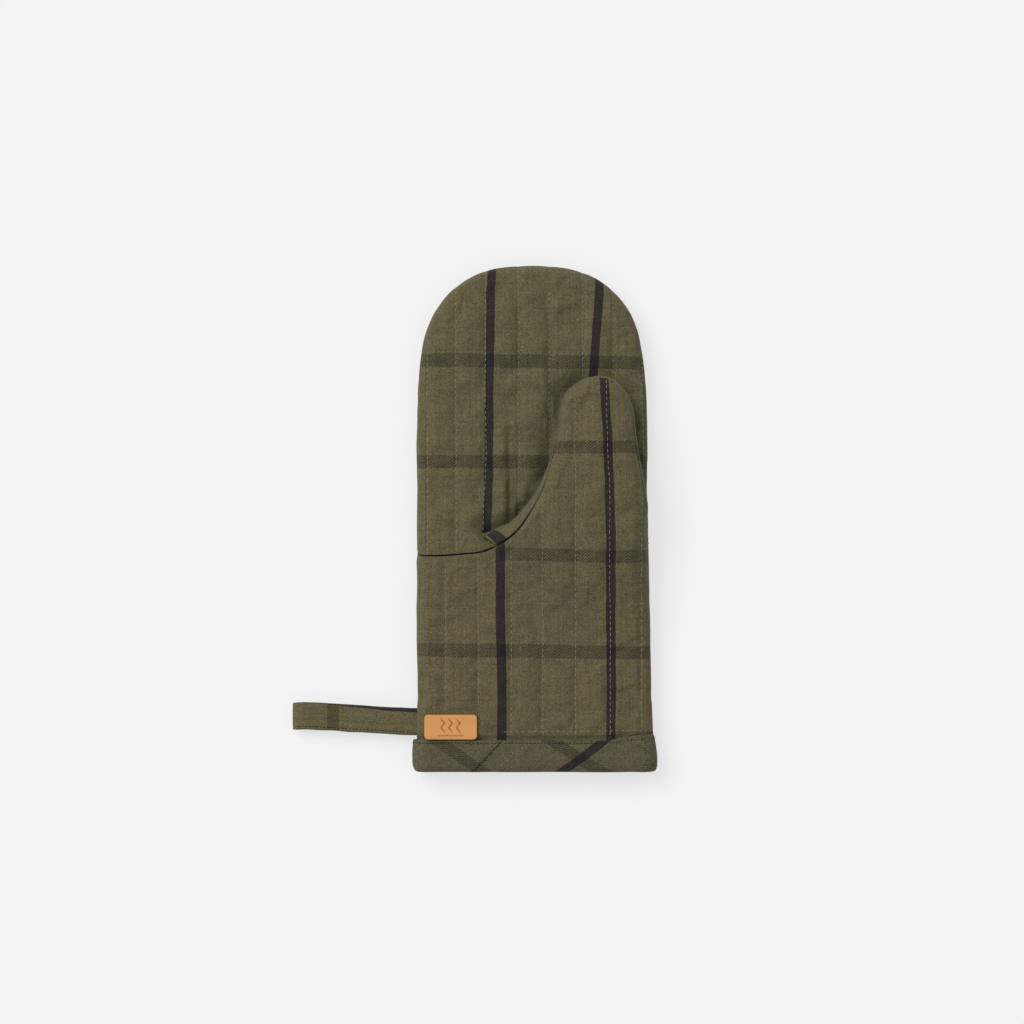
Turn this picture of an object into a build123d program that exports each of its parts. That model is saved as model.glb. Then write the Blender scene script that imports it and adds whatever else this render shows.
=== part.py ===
from build123d import *
import math
import os

os.makedirs("parts", exist_ok=True)

# A quilted oven mitt that lies on its back. Millimetres; +X across the palm to the thumb side,
# +Y from the mouth to the finger end, +Z up. The origin is on the rest face, halfway along.

# Body
body_length = 325.8
half_width = 74.5
cuff_flare = 5.0
finger_corner_radius = 59.1
finger_side_radius = 275.3
side_turn = 10.2
corner_turn = 72.1
edge_round = 7.0
edge_flat = 0.3
mouth_overrun = 30.0

# Cloth, from the outside in
outer_thickness = 0.8
wadding_thickness = 3.2
lining_thickness = 0.5
ply_gap = 0.05
pocket_height = 8.0
seam_gap = 0.3

# Cuff binding
binding_width = 21.0
binding_thickness = 1.0
binding_proud = 1.2
binding_corner = 4.0
binding_stitch_inset = 2.0

# Palm seam and the raised root of the thumb
seam_left = 139.5
seam_bend_start = -42.0
fold_distance = 150.0
root_start = 85.0
root_bury = 0.5
root_left_start = 20.0
root_right_start = 64.0

# Thumb
thumb_left = -17.0
thumb_right = 74.0
thumb_height = 14.0
thumb_round = 6.0
thumb_tip_x = 42.0
thumb_tip_distance = 254.0
thumb_tip_radius = 23.0
thumb_crotch_radius = 86.6
thumb_crotch_round = 8.0

# Quilting
palm_row_first = -55.7
palm_row_pitch = 20.9
palm_row_count = 7
thumb_row_skip = 4
thumb_row_count = 2
finger_row_first = -66.9
finger_row_pitch = 19.7
finger_row_count = 7
quilt_edge_margin = 6.5
quilt_end_margin = 4.0
thread_width = 0.6
thread_height = 0.3
thread_sink = 0.05
groove_clearance = 0.1

# Leather label
label_left = -68.9
label_width = 33.8
label_length = 16.0
label_thickness = 1.4
label_corner = 2.5
label_gap = 0.4

# Hanging loop
loop_clear = 3.2
loop_reach = 78.0
strap_width = 17.3
strap_thickness = 1.5
loop_eye = 6.0
loop_taper = 30.0
loop_gap = 0.4
eye_start = 14.0
eye_tip_radius = 0.3
loop_floor_gap = 0.3
loop_stitch_inset = 1.9

# Places that follow from the sizes above
mouth = -body_length / 2
stack = outer_thickness + wadding_thickness + lining_thickness + 2 * ply_gap
thickness = 2 * stack + pocket_height
seam_height = thickness / 2
fold = mouth + fold_distance
thumb_bottom = thickness + seam_gap
thumb_top = thumb_bottom + thumb_height
thumb_middle = (thumb_bottom + thumb_top) / 2
thumb_base = fold + seam_gap
cuff_step = binding_thickness + ply_gap
loop_radius = loop_eye / 2 + strap_thickness
loop_root = -half_width - loop_gap - strap_thickness
loop_end = -half_width - loop_reach
loop_middle = loop_floor_gap + loop_radius
loop_distance = binding_width + loop_clear
reach = 2 * body_length

# How far each face of the plies lies inside the mitt: outer, wadding and lining, outside then inside
outer_inside = outer_thickness
wadding_outside = outer_inside + ply_gap
wadding_inside = wadding_outside + wadding_thickness
lining_outside = wadding_inside + ply_gap
lining_inside = lining_outside + lining_thickness
leg_outside = lining_inside + ply_gap
leg_inside = leg_outside + binding_thickness
thread_outside = thread_sink
thread_inside = thread_sink + thread_height
groove_depth = thread_inside + ply_gap


def across(distance):
    """The plane across the mitt at a distance from its mouth, facing the finger end."""
    return Plane(origin=(0, mouth + distance, 0), x_dir=(1, 0, 0), z_dir=(0, 1, 0))


def half_outline(side):
    """One half of the finger end, from its middle down to the side, as tangent arcs."""
    top_turn = 90 - side_turn - corner_turn
    side_share = 1 - math.cos(math.radians(side_turn))
    corner_share = math.cos(math.radians(side_turn)) - math.cos(math.radians(90 - top_turn))
    middle_reach = half_width - finger_side_radius * side_share - finger_corner_radius * corner_share
    top_radius = middle_reach / math.sin(math.radians(top_turn))
    top = JernArc((0, mouth + body_length), (side, 0), top_radius, -side * top_turn)
    corner = JernArc(top @ 1, top % 1, finger_corner_radius, -side * corner_turn)
    return JernArc(corner @ 1, corner % 1, finger_side_radius, -side * side_turn)


# The mitt's outline, which runs on past the mouth so that its end can be cut square
with BuildSketch() as outline:
    with BuildLine():
        right = half_outline(1) @ 1
        left = half_outline(-1) @ 1
        end = mouth - mouth_overrun
        flare_radius = (right.Y - mouth) ** 2 / (2 * cuff_flare)
        flare_turn = math.degrees(math.asin((right.Y - end) / flare_radius))
        flare = JernArc(right, (0, -1), flare_radius, flare_turn)
        side_line = Line(left, (left.X, (flare @ 1).Y))
        Line(flare @ 1, side_line @ 1)
    make_face()

# The thumb's outline, past its base, with the inside curve of the crotch on its left
tip_centre = mouth + thumb_tip_distance - thumb_tip_radius
crotch_reach = thumb_tip_x - thumb_tip_radius - thumb_left
crotch_angle = math.acos(1 - crotch_reach / thumb_crotch_radius)
with BuildSketch() as thumb_outline:
    with BuildLine():
        tip_left = (thumb_tip_x - thumb_tip_radius, tip_centre)
        tip_right = (thumb_tip_x + thumb_tip_radius, tip_centre)
        base_end = thumb_base - mouth_overrun
        inside = JernArc(tip_left, (0, -1), thumb_crotch_radius, -math.degrees(crotch_angle))
        Line(inside @ 1, (thumb_left, base_end))
        Line((thumb_left, base_end), (thumb_right, base_end))
        Line((thumb_right, base_end), (thumb_right, thumb_base))
        Line((thumb_right, thumb_base), tip_right)
        JernArc(tip_right, (0, 1), thumb_tip_radius, 180)
    make_face()
    crotch_corner = thumb_outline.vertices().sort_by_distance(inside @ 1)[0]
    fillet(crotch_corner, thumb_crotch_round)


def pillow(sketch, depth, bottom, top, rounding, grow=0):
    """A sketch, grown sideways, made solid with rounded edges and shrunk all round by depth."""
    edge_radius = min(rounding + grow, (top - bottom) / 2 - edge_flat)
    with BuildPart() as form:
        with BuildSketch(Plane.XY.offset(bottom + depth)):
            add(sketch)
            if grow != depth:
                offset(amount=grow - depth, kind=Kind.INTERSECTION)
        extrude(amount=top - bottom - 2 * depth)
        fillet(form.faces().filter_by(Axis.Z).edges(), edge_radius - depth)
    return form.part


def body_form(depth):
    """The mitt's body, shrunk all round by depth."""
    return pillow(outline.sketch, depth, 0, thickness, edge_round)


def cuff_form(depth):
    """The body's shape where the binding stands proud of its sides, shrunk by depth."""
    return pillow(outline.sketch, depth, 0, thickness, edge_round, binding_proud)


def thumb_form(depth):
    """The thumb that lies above the palm, shrunk by depth, cut square at its base."""
    with BuildPart() as form:
        add(pillow(thumb_outline.sketch, depth, thumb_bottom, thumb_top, thumb_round))
        split(bisect_by=across(thumb_base - mouth), keep=Keep.TOP)
    return form.part


def palm_form(depth):
    """The body with the thumb's raised root on its palm side, shrunk by depth."""
    low_end = (root_start, root_left_start, root_right_start, thickness - root_bury)
    high_end = (fold_distance, thumb_left, thumb_right, thumb_top)
    with BuildPart() as root:
        for distance, left, right, top in (low_end, high_end):
            height = top - depth - seam_height
            with BuildSketch(across(distance)) as section:
                with Locations(((left + right) / 2, -seam_height - height / 2)):
                    Rectangle(right - left - 2 * depth, height)
                fillet(section.vertices().sort_by(Axis.Y)[:2], thumb_round - depth)
        loft(ruled=True)
    with BuildPart() as form:
        add(body_form(depth))
        add(root.part)
    return form.part


def cut_from(form, distance):
    """The stretch of a form on the finger side of a distance from the mouth."""
    with BuildPart() as cut:
        add(form)
        split(bisect_by=across(distance), keep=Keep.TOP)
    return cut.part


def stepped(body_depth):
    """The palm's form at a depth, with a step down under the binding at the cuff."""
    with BuildPart() as both:
        add(cut_from(palm_form(body_depth), binding_width + body_depth + ply_gap))
        add(cut_from(body_form(cuff_step + body_depth), cuff_step))
    return both.part


def between(outside, inside, region):
    """The shell between two forms, kept only inside a region."""
    with BuildPart() as shell:
        add(outside)
        add(inside, mode=Mode.SUBTRACT)
        add(region, mode=Mode.INTERSECT)
    return shell.part


def seam_half(above):
    """Everything on one side of the side seam."""
    side = 1 if above else -1
    with BuildPart() as region:
        with BuildSketch(Plane.XY.offset(seam_height + side * seam_gap / 2)):
            Rectangle(reach, reach)
        extrude(amount=side * reach)
    return region.part


def lower_region(shift):
    """The palm's side from the mouth to the palm seam, moved towards the finger end by shift."""
    seam_y = mouth + seam_left + shift
    with BuildPart() as region:
        with BuildSketch(Plane.XY.offset(seam_height + seam_gap / 2)):
            with BuildLine():
                Polyline((seam_bend_start, seam_y), (-reach, seam_y), (-reach, -reach), (reach, -reach),
                         (reach, fold + shift), (thumb_left, fold + shift))
                TangentArc((seam_bend_start, seam_y), (thumb_left, fold + shift), tangent=(1, 0))
            make_face()
        extrude(amount=reach)
    return region.part


def blades(sketch, first, pitch, count, start, stop, width):
    """Upright blades where quilting rows run over a sketch, clear of its edge and of both ends."""
    with BuildPart() as rows:
        with BuildSketch():
            add(sketch)
            offset(amount=-quilt_edge_margin, kind=Kind.INTERSECTION)
            with Locations([(first + pitch * row, mouth + (start + stop) / 2) for row in range(count)]):
                Rectangle(width, stop - start, mode=Mode.INTERSECT)
        extrude(amount=reach, both=True)
    return rows.part


def stitch_slab(distance, width):
    """A slab across the mitt in which a row of stitches runs round it."""
    with BuildPart() as slab:
        with BuildSketch(across(distance - width / 2)):
            Rectangle(reach, reach)
        extrude(amount=width)
    return slab.part


def loop_hull(depth):
    """The side view of the folded loop, shrunk by depth: a bead at its root, a round far end."""
    with BuildSketch(Plane.XZ) as hull:
        with Locations((loop_root, seam_height)):
            Circle(strap_thickness - depth)
        with Locations((loop_root - loop_taper, loop_middle), (loop_end + loop_radius, loop_middle)):
            Circle(loop_radius - depth)
        make_hull()
    return hull.sketch_local


# Forms between which the plies, threads and binding lie, from the outside in
outer_face = stepped(0)
outer_lined = stepped(outer_inside)
wadding_face = stepped(wadding_outside)
wadding_lined = palm_form(wadding_inside)
lining_face = cut_from(palm_form(lining_outside), cuff_step)
lining_lined = palm_form(lining_inside)
thread_top = palm_form(thread_outside)
thread_bottom = palm_form(thread_inside)
groove_bottom = palm_form(groove_depth)

back_half = seam_half(False)
palm_half = seam_half(True)
lower_palm_region = lower_region(0)

with BuildPart() as finger_half:
    add(palm_half)
    add(lower_region(ply_gap), mode=Mode.SUBTRACT)
finger_palm_region = finger_half.part

# Quilting rows
groove_width = thread_width + 2 * groove_clearance
row_start = binding_width + quilt_end_margin
finger_rows = (outline.sketch, finger_row_first, finger_row_pitch, finger_row_count, row_start, body_length)
lower_rows = (outline.sketch, palm_row_first, palm_row_pitch, palm_row_count, row_start, body_length)
thumb_first = palm_row_first + palm_row_pitch * thumb_row_skip
thumb_start = fold_distance + quilt_end_margin
thumb_rows = (thumb_outline.sketch, thumb_first, palm_row_pitch, thumb_row_count, thumb_start, body_length)

with BuildPart() as lower_margin:
    add(lower_region(-quilt_end_margin))
with BuildPart() as finger_margin:
    add(palm_half)
    add(lower_region(quilt_end_margin), mode=Mode.SUBTRACT)


def sewn_rows(rows, width, region):
    """The blades of some quilting rows, kept inside a region."""
    with BuildPart() as sewn:
        add(blades(*rows, width))
        add(region, mode=Mode.INTERSECT)
    return sewn.part


# Back: the cloth that the mitt lies on, its wadding and lining
with BuildPart() as back_outer:
    add(between(outer_face, outer_lined, back_half))
    add(between(sewn_rows(finger_rows, groove_width, back_half), groove_bottom, back_half), mode=Mode.SUBTRACT)
back_outer.part.label = "back_outer"
export_step(back_outer.part, "parts/back_outer.step")

with BuildPart() as back_wadding:
    add(between(wadding_face, wadding_lined, back_half))
back_wadding.part.label = "back_wadding"
export_step(back_wadding.part, "parts/back_wadding.step")

with BuildPart() as back_lining:
    add(between(lining_face, lining_lined, back_half))
back_lining.part.label = "back_lining"
export_step(back_lining.part, "parts/back_lining.step")

with BuildPart() as back_quilting:
    add(between(thread_top, thread_bottom, sewn_rows(finger_rows, thread_width, back_half)))
back_quilting.part.label = "back_quilting"
export_step(back_quilting.part, "parts/back_quilting.step")

# Lower palm: from the cuff to the palm seam, with the raised root of the thumb
with BuildPart() as lower_palm_outer:
    add(between(outer_face, outer_lined, lower_palm_region))
    lower_grooves = sewn_rows(lower_rows, groove_width, lower_margin.part)
    add(between(lower_grooves, groove_bottom, palm_half), mode=Mode.SUBTRACT)
lower_palm_outer.part.label = "lower_palm_outer"
export_step(lower_palm_outer.part, "parts/lower_palm_outer.step")

with BuildPart() as lower_palm_wadding:
    add(between(wadding_face, wadding_lined, lower_palm_region))
lower_palm_wadding.part.label = "lower_palm_wadding"
export_step(lower_palm_wadding.part, "parts/lower_palm_wadding.step")

with BuildPart() as lower_palm_lining:
    add(between(lining_face, lining_lined, lower_palm_region))
lower_palm_lining.part.label = "lower_palm_lining"
export_step(lower_palm_lining.part, "parts/lower_palm_lining.step")

with BuildPart() as lower_palm_quilting:
    add(between(thread_top, thread_bottom, sewn_rows(lower_rows, thread_width, lower_margin.part)))
lower_palm_quilting.part.label = "lower_palm_quilting"
export_step(lower_palm_quilting.part, "parts/lower_palm_quilting.step")

# Finger palm: from the palm seam over the fingers to the side seam
with BuildPart() as finger_palm_outer:
    add(between(outer_face, outer_lined, finger_palm_region))
    finger_grooves = sewn_rows(finger_rows, groove_width, finger_margin.part)
    add(between(finger_grooves, groove_bottom, palm_half), mode=Mode.SUBTRACT)
finger_palm_outer.part.label = "finger_palm_outer"
export_step(finger_palm_outer.part, "parts/finger_palm_outer.step")

with BuildPart() as finger_palm_wadding:
    add(between(wadding_face, wadding_lined, finger_palm_region))
finger_palm_wadding.part.label = "finger_palm_wadding"
export_step(finger_palm_wadding.part, "parts/finger_palm_wadding.step")

with BuildPart() as finger_palm_lining:
    add(between(lining_face, lining_lined, finger_palm_region))
finger_palm_lining.part.label = "finger_palm_lining"
export_step(finger_palm_lining.part, "parts/finger_palm_lining.step")

with BuildPart() as finger_palm_quilting:
    add(between(thread_top, thread_bottom, sewn_rows(finger_rows, thread_width, finger_margin.part)))
finger_palm_quilting.part.label = "finger_palm_quilting"
export_step(finger_palm_quilting.part, "parts/finger_palm_quilting.step")

# Thumb: a front and a back, each of three plies, open at the base
with BuildPart() as front_half:
    with BuildSketch(Plane.XY.offset(thumb_middle + ply_gap / 2)):
        Rectangle(reach, reach)
    extrude(amount=reach)
thumb_front_region = front_half.part

with BuildPart() as rear_half:
    with BuildSketch(Plane.XY.offset(thumb_middle - ply_gap / 2)):
        Rectangle(reach, reach)
    extrude(amount=-reach)
thumb_back_region = rear_half.part

thumb_outer_face = thumb_form(0)
thumb_outer_lined = thumb_form(outer_inside)
thumb_wadding_face = thumb_form(wadding_outside)
thumb_wadding_lined = thumb_form(wadding_inside)
thumb_lining_face = thumb_form(lining_outside)
thumb_lining_lined = thumb_form(lining_inside)
thumb_groove_bottom = thumb_form(groove_depth)

with BuildPart() as thumb_front_outer:
    add(between(thumb_outer_face, thumb_outer_lined, thumb_front_region))
    thumb_grooves = sewn_rows(thumb_rows, groove_width, thumb_front_region)
    add(between(thumb_grooves, thumb_groove_bottom, thumb_front_region), mode=Mode.SUBTRACT)
thumb_front_outer.part.label = "thumb_front_outer"
export_step(thumb_front_outer.part, "parts/thumb_front_outer.step")

with BuildPart() as thumb_front_wadding:
    add(between(thumb_wadding_face, thumb_wadding_lined, thumb_front_region))
thumb_front_wadding.part.label = "thumb_front_wadding"
export_step(thumb_front_wadding.part, "parts/thumb_front_wadding.step")

with BuildPart() as thumb_front_lining:
    add(between(thumb_lining_face, thumb_lining_lined, thumb_front_region))
thumb_front_lining.part.label = "thumb_front_lining"
export_step(thumb_front_lining.part, "parts/thumb_front_lining.step")

with BuildPart() as thumb_back_outer:
    add(between(thumb_outer_face, thumb_outer_lined, thumb_back_region))
thumb_back_outer.part.label = "thumb_back_outer"
export_step(thumb_back_outer.part, "parts/thumb_back_outer.step")

with BuildPart() as thumb_back_wadding:
    add(between(thumb_wadding_face, thumb_wadding_lined, thumb_back_region))
thumb_back_wadding.part.label = "thumb_back_wadding"
export_step(thumb_back_wadding.part, "parts/thumb_back_wadding.step")

with BuildPart() as thumb_back_lining:
    add(between(thumb_lining_face, thumb_lining_lined, thumb_back_region))
thumb_back_lining.part.label = "thumb_back_lining"
export_step(thumb_back_lining.part, "parts/thumb_back_lining.step")

with BuildPart() as thumb_quilting:
    thumb_thread_rows = sewn_rows(thumb_rows, thread_width, thumb_front_region)
    add(between(thumb_form(thread_outside), thumb_form(thread_inside), thumb_thread_rows))
thumb_quilting.part.label = "thumb_quilting"
export_step(thumb_quilting.part, "parts/thumb_quilting.step")

# Cuff binding: an outer leg, a wall across the raw edges and an inner leg, all round the mouth
with BuildSketch() as cuff_outline:
    add(outline.sketch)
    offset(amount=binding_proud, kind=Kind.INTERSECTION)
    with Locations((0, mouth + binding_width / 2)):
        Rectangle(reach, binding_width, mode=Mode.INTERSECT)
    fillet(cuff_outline.vertices().sort_by(Axis.Y)[:2], binding_corner)

with BuildPart() as cuff_stretch:
    with BuildSketch():
        add(cuff_outline.sketch)
    extrude(amount=thickness)

with BuildPart() as binding_ring:
    add(cuff_form(0))
    add(cuff_stretch.part, mode=Mode.INTERSECT)
    add(cut_from(body_form(binding_thickness), binding_thickness), mode=Mode.SUBTRACT)
    add(between(body_form(leg_outside), body_form(leg_inside), cuff_stretch.part))
    add(body_form(leg_inside), mode=Mode.SUBTRACT)
    stitch_distance = binding_width - binding_stitch_inset
    groove = between(stitch_slab(stitch_distance, groove_width), cuff_form(groove_depth), cuff_stretch.part)
    add(groove, mode=Mode.SUBTRACT)

with BuildPart() as binding_thread:
    add(cuff_form(thread_outside))
    add(cuff_form(thread_inside), mode=Mode.SUBTRACT)
    add(stitch_slab(stitch_distance, thread_width), mode=Mode.INTERSECT)

with BuildPart() as cuff_binding_back:
    add(binding_ring.part)
    add(back_half, mode=Mode.INTERSECT)
cuff_binding_back.part.label = "cuff_binding_back"
export_step(cuff_binding_back.part, "parts/cuff_binding_back.step")

with BuildPart() as cuff_binding_palm:
    add(binding_ring.part)
    add(palm_half, mode=Mode.INTERSECT)
cuff_binding_palm.part.label = "cuff_binding_palm"
export_step(cuff_binding_palm.part, "parts/cuff_binding_palm.step")

with BuildPart() as binding_stitch_back:
    add(binding_thread.part)
    add(back_half, mode=Mode.INTERSECT)
binding_stitch_back.part.label = "binding_stitch_back"
export_step(binding_stitch_back.part, "parts/binding_stitch_back.step")

with BuildPart() as binding_stitch_palm:
    add(binding_thread.part)
    add(palm_half, mode=Mode.INTERSECT)
binding_stitch_palm.part.label = "binding_stitch_palm"
export_step(binding_stitch_palm.part, "parts/binding_stitch_palm.step")

# Leather label, hinged where its lower edge goes under the binding
with BuildPart() as leather_label:
    with BuildSketch(Plane.XY.offset(thickness + seam_gap)) as label_face:
        with Locations((label_left, mouth + binding_width + label_gap)):
            Rectangle(label_width, label_length, align=(Align.MIN, Align.MIN))
        fillet(label_face.vertices().sort_by(Axis.Y)[-2:], label_corner)
    extrude(amount=label_thickness)
leather_label.part.label = "leather_label"
export_step(leather_label.part, "parts/leather_label.step")

# Hanging loop: a strap folded end to end, with a row of stitches near one edge
loop_plane = Plane.XZ.offset(-(mouth + loop_distance))
loop_stitch_plane = Plane.XZ.offset(-(mouth + loop_distance + loop_stitch_inset - thread_width / 2))
loop_groove_plane = Plane.XZ.offset(-(mouth + loop_distance + loop_stitch_inset - groove_width / 2))

with BuildSketch(Plane.XZ) as eye:
    with Locations((loop_root - eye_start, loop_middle + (seam_height - loop_middle) * (1 - eye_start / loop_taper))):
        Circle(eye_tip_radius)
    with Locations((loop_root - loop_taper, loop_middle), (loop_end + loop_radius, loop_middle)):
        Circle(loop_eye / 2)
    make_hull()

with BuildPart() as hanging_loop:
    with BuildSketch(loop_plane):
        add(loop_hull(0))
        add(eye.sketch_local, mode=Mode.SUBTRACT)
    extrude(amount=-strap_width)
    with BuildSketch(loop_groove_plane):
        add(loop_hull(0))
        add(loop_hull(groove_depth), mode=Mode.SUBTRACT)
    extrude(amount=-groove_width, mode=Mode.SUBTRACT)
hanging_loop.part.label = "hanging_loop"
export_step(hanging_loop.part, "parts/hanging_loop.step")

with BuildPart() as loop_stitch:
    with BuildSketch(loop_stitch_plane):
        add(loop_hull(thread_outside))
        add(loop_hull(thread_inside), mode=Mode.SUBTRACT)
    extrude(amount=-thread_width)
loop_stitch.part.label = "loop_stitch"
export_step(loop_stitch.part, "parts/loop_stitch.step")
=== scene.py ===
import math

import bmesh
import bpy
import numpy as np
from bpy.props import FloatProperty, FloatVectorProperty, IntProperty, PointerProperty
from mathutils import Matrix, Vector, geometry
from mathutils.bvhtree import BVHTree


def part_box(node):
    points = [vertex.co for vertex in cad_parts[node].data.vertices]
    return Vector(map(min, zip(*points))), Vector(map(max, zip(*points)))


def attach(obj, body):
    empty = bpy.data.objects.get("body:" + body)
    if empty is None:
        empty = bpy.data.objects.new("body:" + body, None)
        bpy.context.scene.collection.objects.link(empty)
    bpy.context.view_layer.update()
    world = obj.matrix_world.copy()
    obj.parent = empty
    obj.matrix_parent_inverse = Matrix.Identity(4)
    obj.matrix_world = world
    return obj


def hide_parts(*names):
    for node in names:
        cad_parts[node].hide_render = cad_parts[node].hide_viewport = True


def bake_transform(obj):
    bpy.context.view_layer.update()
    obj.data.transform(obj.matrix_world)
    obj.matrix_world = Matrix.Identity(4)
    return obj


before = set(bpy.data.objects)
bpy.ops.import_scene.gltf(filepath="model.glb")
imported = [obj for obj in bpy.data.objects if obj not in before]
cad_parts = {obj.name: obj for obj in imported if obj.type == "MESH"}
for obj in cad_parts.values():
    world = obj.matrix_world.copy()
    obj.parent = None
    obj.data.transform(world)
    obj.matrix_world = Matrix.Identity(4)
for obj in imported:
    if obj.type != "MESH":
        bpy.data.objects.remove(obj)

bl_info = {
    "name": "Quilted Oven Mitt",
    "version": (1, 0, 0),
    "blender": (4, 5, 0),
    "location": "View3D > Sidebar > Mitt",
    "description": "Builds a quilted plaid oven mitt with a bound cuff, a hanging loop and a leather label",
    "category": "Object",
}

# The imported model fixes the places. Shapes are drawn in millimetres, with y measured from the
# mouth, and are put into the frame's metres when a mesh is made.
MM = 0.001
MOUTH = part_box("cuff_binding_palm")[0].y / MM
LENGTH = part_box("finger_palm_outer")[1].y / MM - MOUTH
HALF_WIDTH = -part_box("back_outer")[0].x / MM
CUFF_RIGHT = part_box("back_outer")[1].x / MM
PALM_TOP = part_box("finger_palm_outer")[1].z / MM
SEAM = PALM_TOP / 2
THUMB_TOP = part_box("thumb_front_outer")[1].z / MM
THUMB_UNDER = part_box("thumb_back_outer")[0].z / MM
LABEL_LOW, LABEL_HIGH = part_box("leather_label")
LOOP_LOW, LOOP_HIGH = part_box("hanging_loop")
# The quilting rows' distances from the middle
ROW_GAP, LOWER_ROW_GAP = 19.7, 20.9
LOWER_ROWS = np.array([-55.7, -34.7, -13.6, 6.6, 27.6, 49.3, 69.8])
FINGER_ROWS = np.array([-66.9, -48.6, -29.6, -8.4, 11.2, 32.6, 52.2, 70.8])
BACK_ROWS = -66.9 + ROW_GAP * np.arange(8)
# Steps along the edges and seams, and how far in from them the rings of extra corners lie
EDGE_STEP, SEAM_STEP = 2.0, 1.9
SIDE_RINGS = (0.3, 1.0, 2.1, 3.6, 5.5, 7.7, 10.0, 12.0)
SEAM_RINGS = (0.45, 1.1, 2.1, 3.4)
# Where the palm seam meets the side seams, and how far the cuff's binding climbs on the right
SEAM_LEFT, SEAM_RIGHT = 139.3, 148.0
CUFF_RISE = 3.6
# The start of a stripe that has no end
FROM_ANYWHERE = -1000.0
# Right of this the thumb lies by the right side seam; and a place inside the thumb
BESIDE_RIGHT = 60
THUMB_MIDDLE = (38.0, 205.0)
made = {}


# ---------------------------------------------------------------- sizes and colours

class MittCloth(bpy.types.PropertyGroup):
    padding: FloatProperty(
        name="Padding", description="Thickness of the quilted cloth",
        default=4.6 * MM, unit="LENGTH")
    edge_round: FloatProperty(
        name="Edge Rounding", description="How far in from the side seam the pad is rounded",
        default=11.5 * MM, unit="LENGTH")
    puff: FloatProperty(
        name="Puff", description="How far the padding may swell between the quilting rows",
        default=1.7 * MM, unit="LENGTH")
    valley: FloatProperty(
        name="Quilting Valley", description="Depth that a quilting row pulls into the padding",
        default=1.0 * MM, unit="LENGTH")
    yarn: FloatProperty(
        name="Yarn Pitch", description="Distance between neighbouring yarns of the twill",
        default=0.47 * MM, unit="LENGTH")


class MittStitches(bpy.types.PropertyGroup):
    pitch: FloatProperty(
        name="Stitch Pitch", description="Distance from one stitch to the next",
        default=3.7 * MM, unit="LENGTH")
    length: FloatProperty(
        name="Stitch Length", description="Length of thread that shows in one stitch",
        default=2.6 * MM, unit="LENGTH")
    thread: FloatProperty(
        name="Thread Width", description="Width of the sewing thread",
        default=0.48 * MM, unit="LENGTH")
    fine_pitch: FloatProperty(
        name="Edge Stitch Pitch", description="Distance between stitches on the binding and the loop",
        default=2.3 * MM, unit="LENGTH")
    seed: IntProperty(
        name="Seed", description="Seed of the small differences between stitches",
        default=7)


class MittTrim(bpy.types.PropertyGroup):
    binding_width: FloatProperty(
        name="Binding Width", description="Width of the binding on each side of the mouth",
        default=21.0 * MM, unit="LENGTH")
    binding_thickness: FloatProperty(
        name="Binding Thickness", description="Thickness of the folded binding",
        default=0.9 * MM, unit="LENGTH")
    strap_thickness: FloatProperty(
        name="Loop Strap Thickness", description="Thickness of the folded strap of the loop",
        default=1.5 * MM, unit="LENGTH")
    label_corner: FloatProperty(
        name="Label Corner", description="Radius of the leather label's corners",
        default=2.5 * MM, unit="LENGTH")
    mark_depth: FloatProperty(
        name="Mark Depth", description="Depth of the pressed mark on the label",
        default=0.3 * MM, unit="LENGTH")


class MittColours(bpy.types.PropertyGroup):
    olive: FloatVectorProperty(
        name="Olive Yarn", description="Main colour of the twill",
        subtype="COLOR", default=(0.097, 0.084, 0.0395))
    weft: FloatVectorProperty(
        name="Weft Yarn", description="Colour of the yarn across the cloth",
        subtype="COLOR", default=(0.146, 0.128, 0.066))
    dark: FloatVectorProperty(
        name="Dark Yarn", description="Colour of the plaid's stripes",
        subtype="COLOR", default=(0.0165, 0.0135, 0.0165))
    thread: FloatVectorProperty(
        name="Quilting Thread", description="Colour of the quilting stitches",
        subtype="COLOR", default=(0.205, 0.190, 0.125))
    trim_thread: FloatVectorProperty(
        name="Trim Thread", description="Colour of the stitches on the binding and the loop",
        subtype="COLOR", default=(0.020, 0.017, 0.012))
    lining: FloatVectorProperty(
        name="Lining", description="Colour of the lining",
        subtype="COLOR", default=(0.105, 0.095, 0.058))
    leather: FloatVectorProperty(
        name="Leather", description="Colour of the label",
        subtype="COLOR", default=(0.590, 0.268, 0.082))
    leather_mark: FloatVectorProperty(
        name="Pressed Mark", description="Colour of the mark pressed into the label",
        subtype="COLOR", default=(0.250, 0.095, 0.028))


# ---------------------------------------------------------------- plane geometry

def ease(x, low, high):
    """Rises smoothly from 0 at low to 1 at high."""
    t = np.clip((x - low) / (high - low), 0, 1)
    return t * t * (3 - 2 * t)


def bump(x, width):
    return np.exp(-(x / width) ** 2)


def wander(x, y, size, seed):
    """Smooth noise from -1 to 1 over a plane, with lumps of a size."""
    draws = np.random.default_rng(seed).uniform(-1, 1, (128, 128))
    i, j = np.asarray(x) / size + 400, np.asarray(y) / size + 400
    a, b = np.floor(i).astype(int), np.floor(j).astype(int)
    s, t = ease(i - a, 0, 1), ease(j - b, 0, 1)
    low = draws[a % 128, b % 128] * (1 - s) + draws[(a + 1) % 128, b % 128] * s
    high = draws[a % 128, (b + 1) % 128] * (1 - s) + draws[(a + 1) % 128, (b + 1) % 128] * s
    return low * (1 - t) + high * t


def along(line, step):
    """A line of corners drawn again with its points a step apart."""
    line = np.asarray(line, float)
    run = np.concatenate([[0], np.cumsum(np.linalg.norm(np.diff(line[:, :2], axis=0), axis=1))])
    at = np.linspace(0, run[-1], max(2, round(run[-1] / step) + 1))
    return np.stack([np.interp(at, run, column) for column in line.T], 1)


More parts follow.
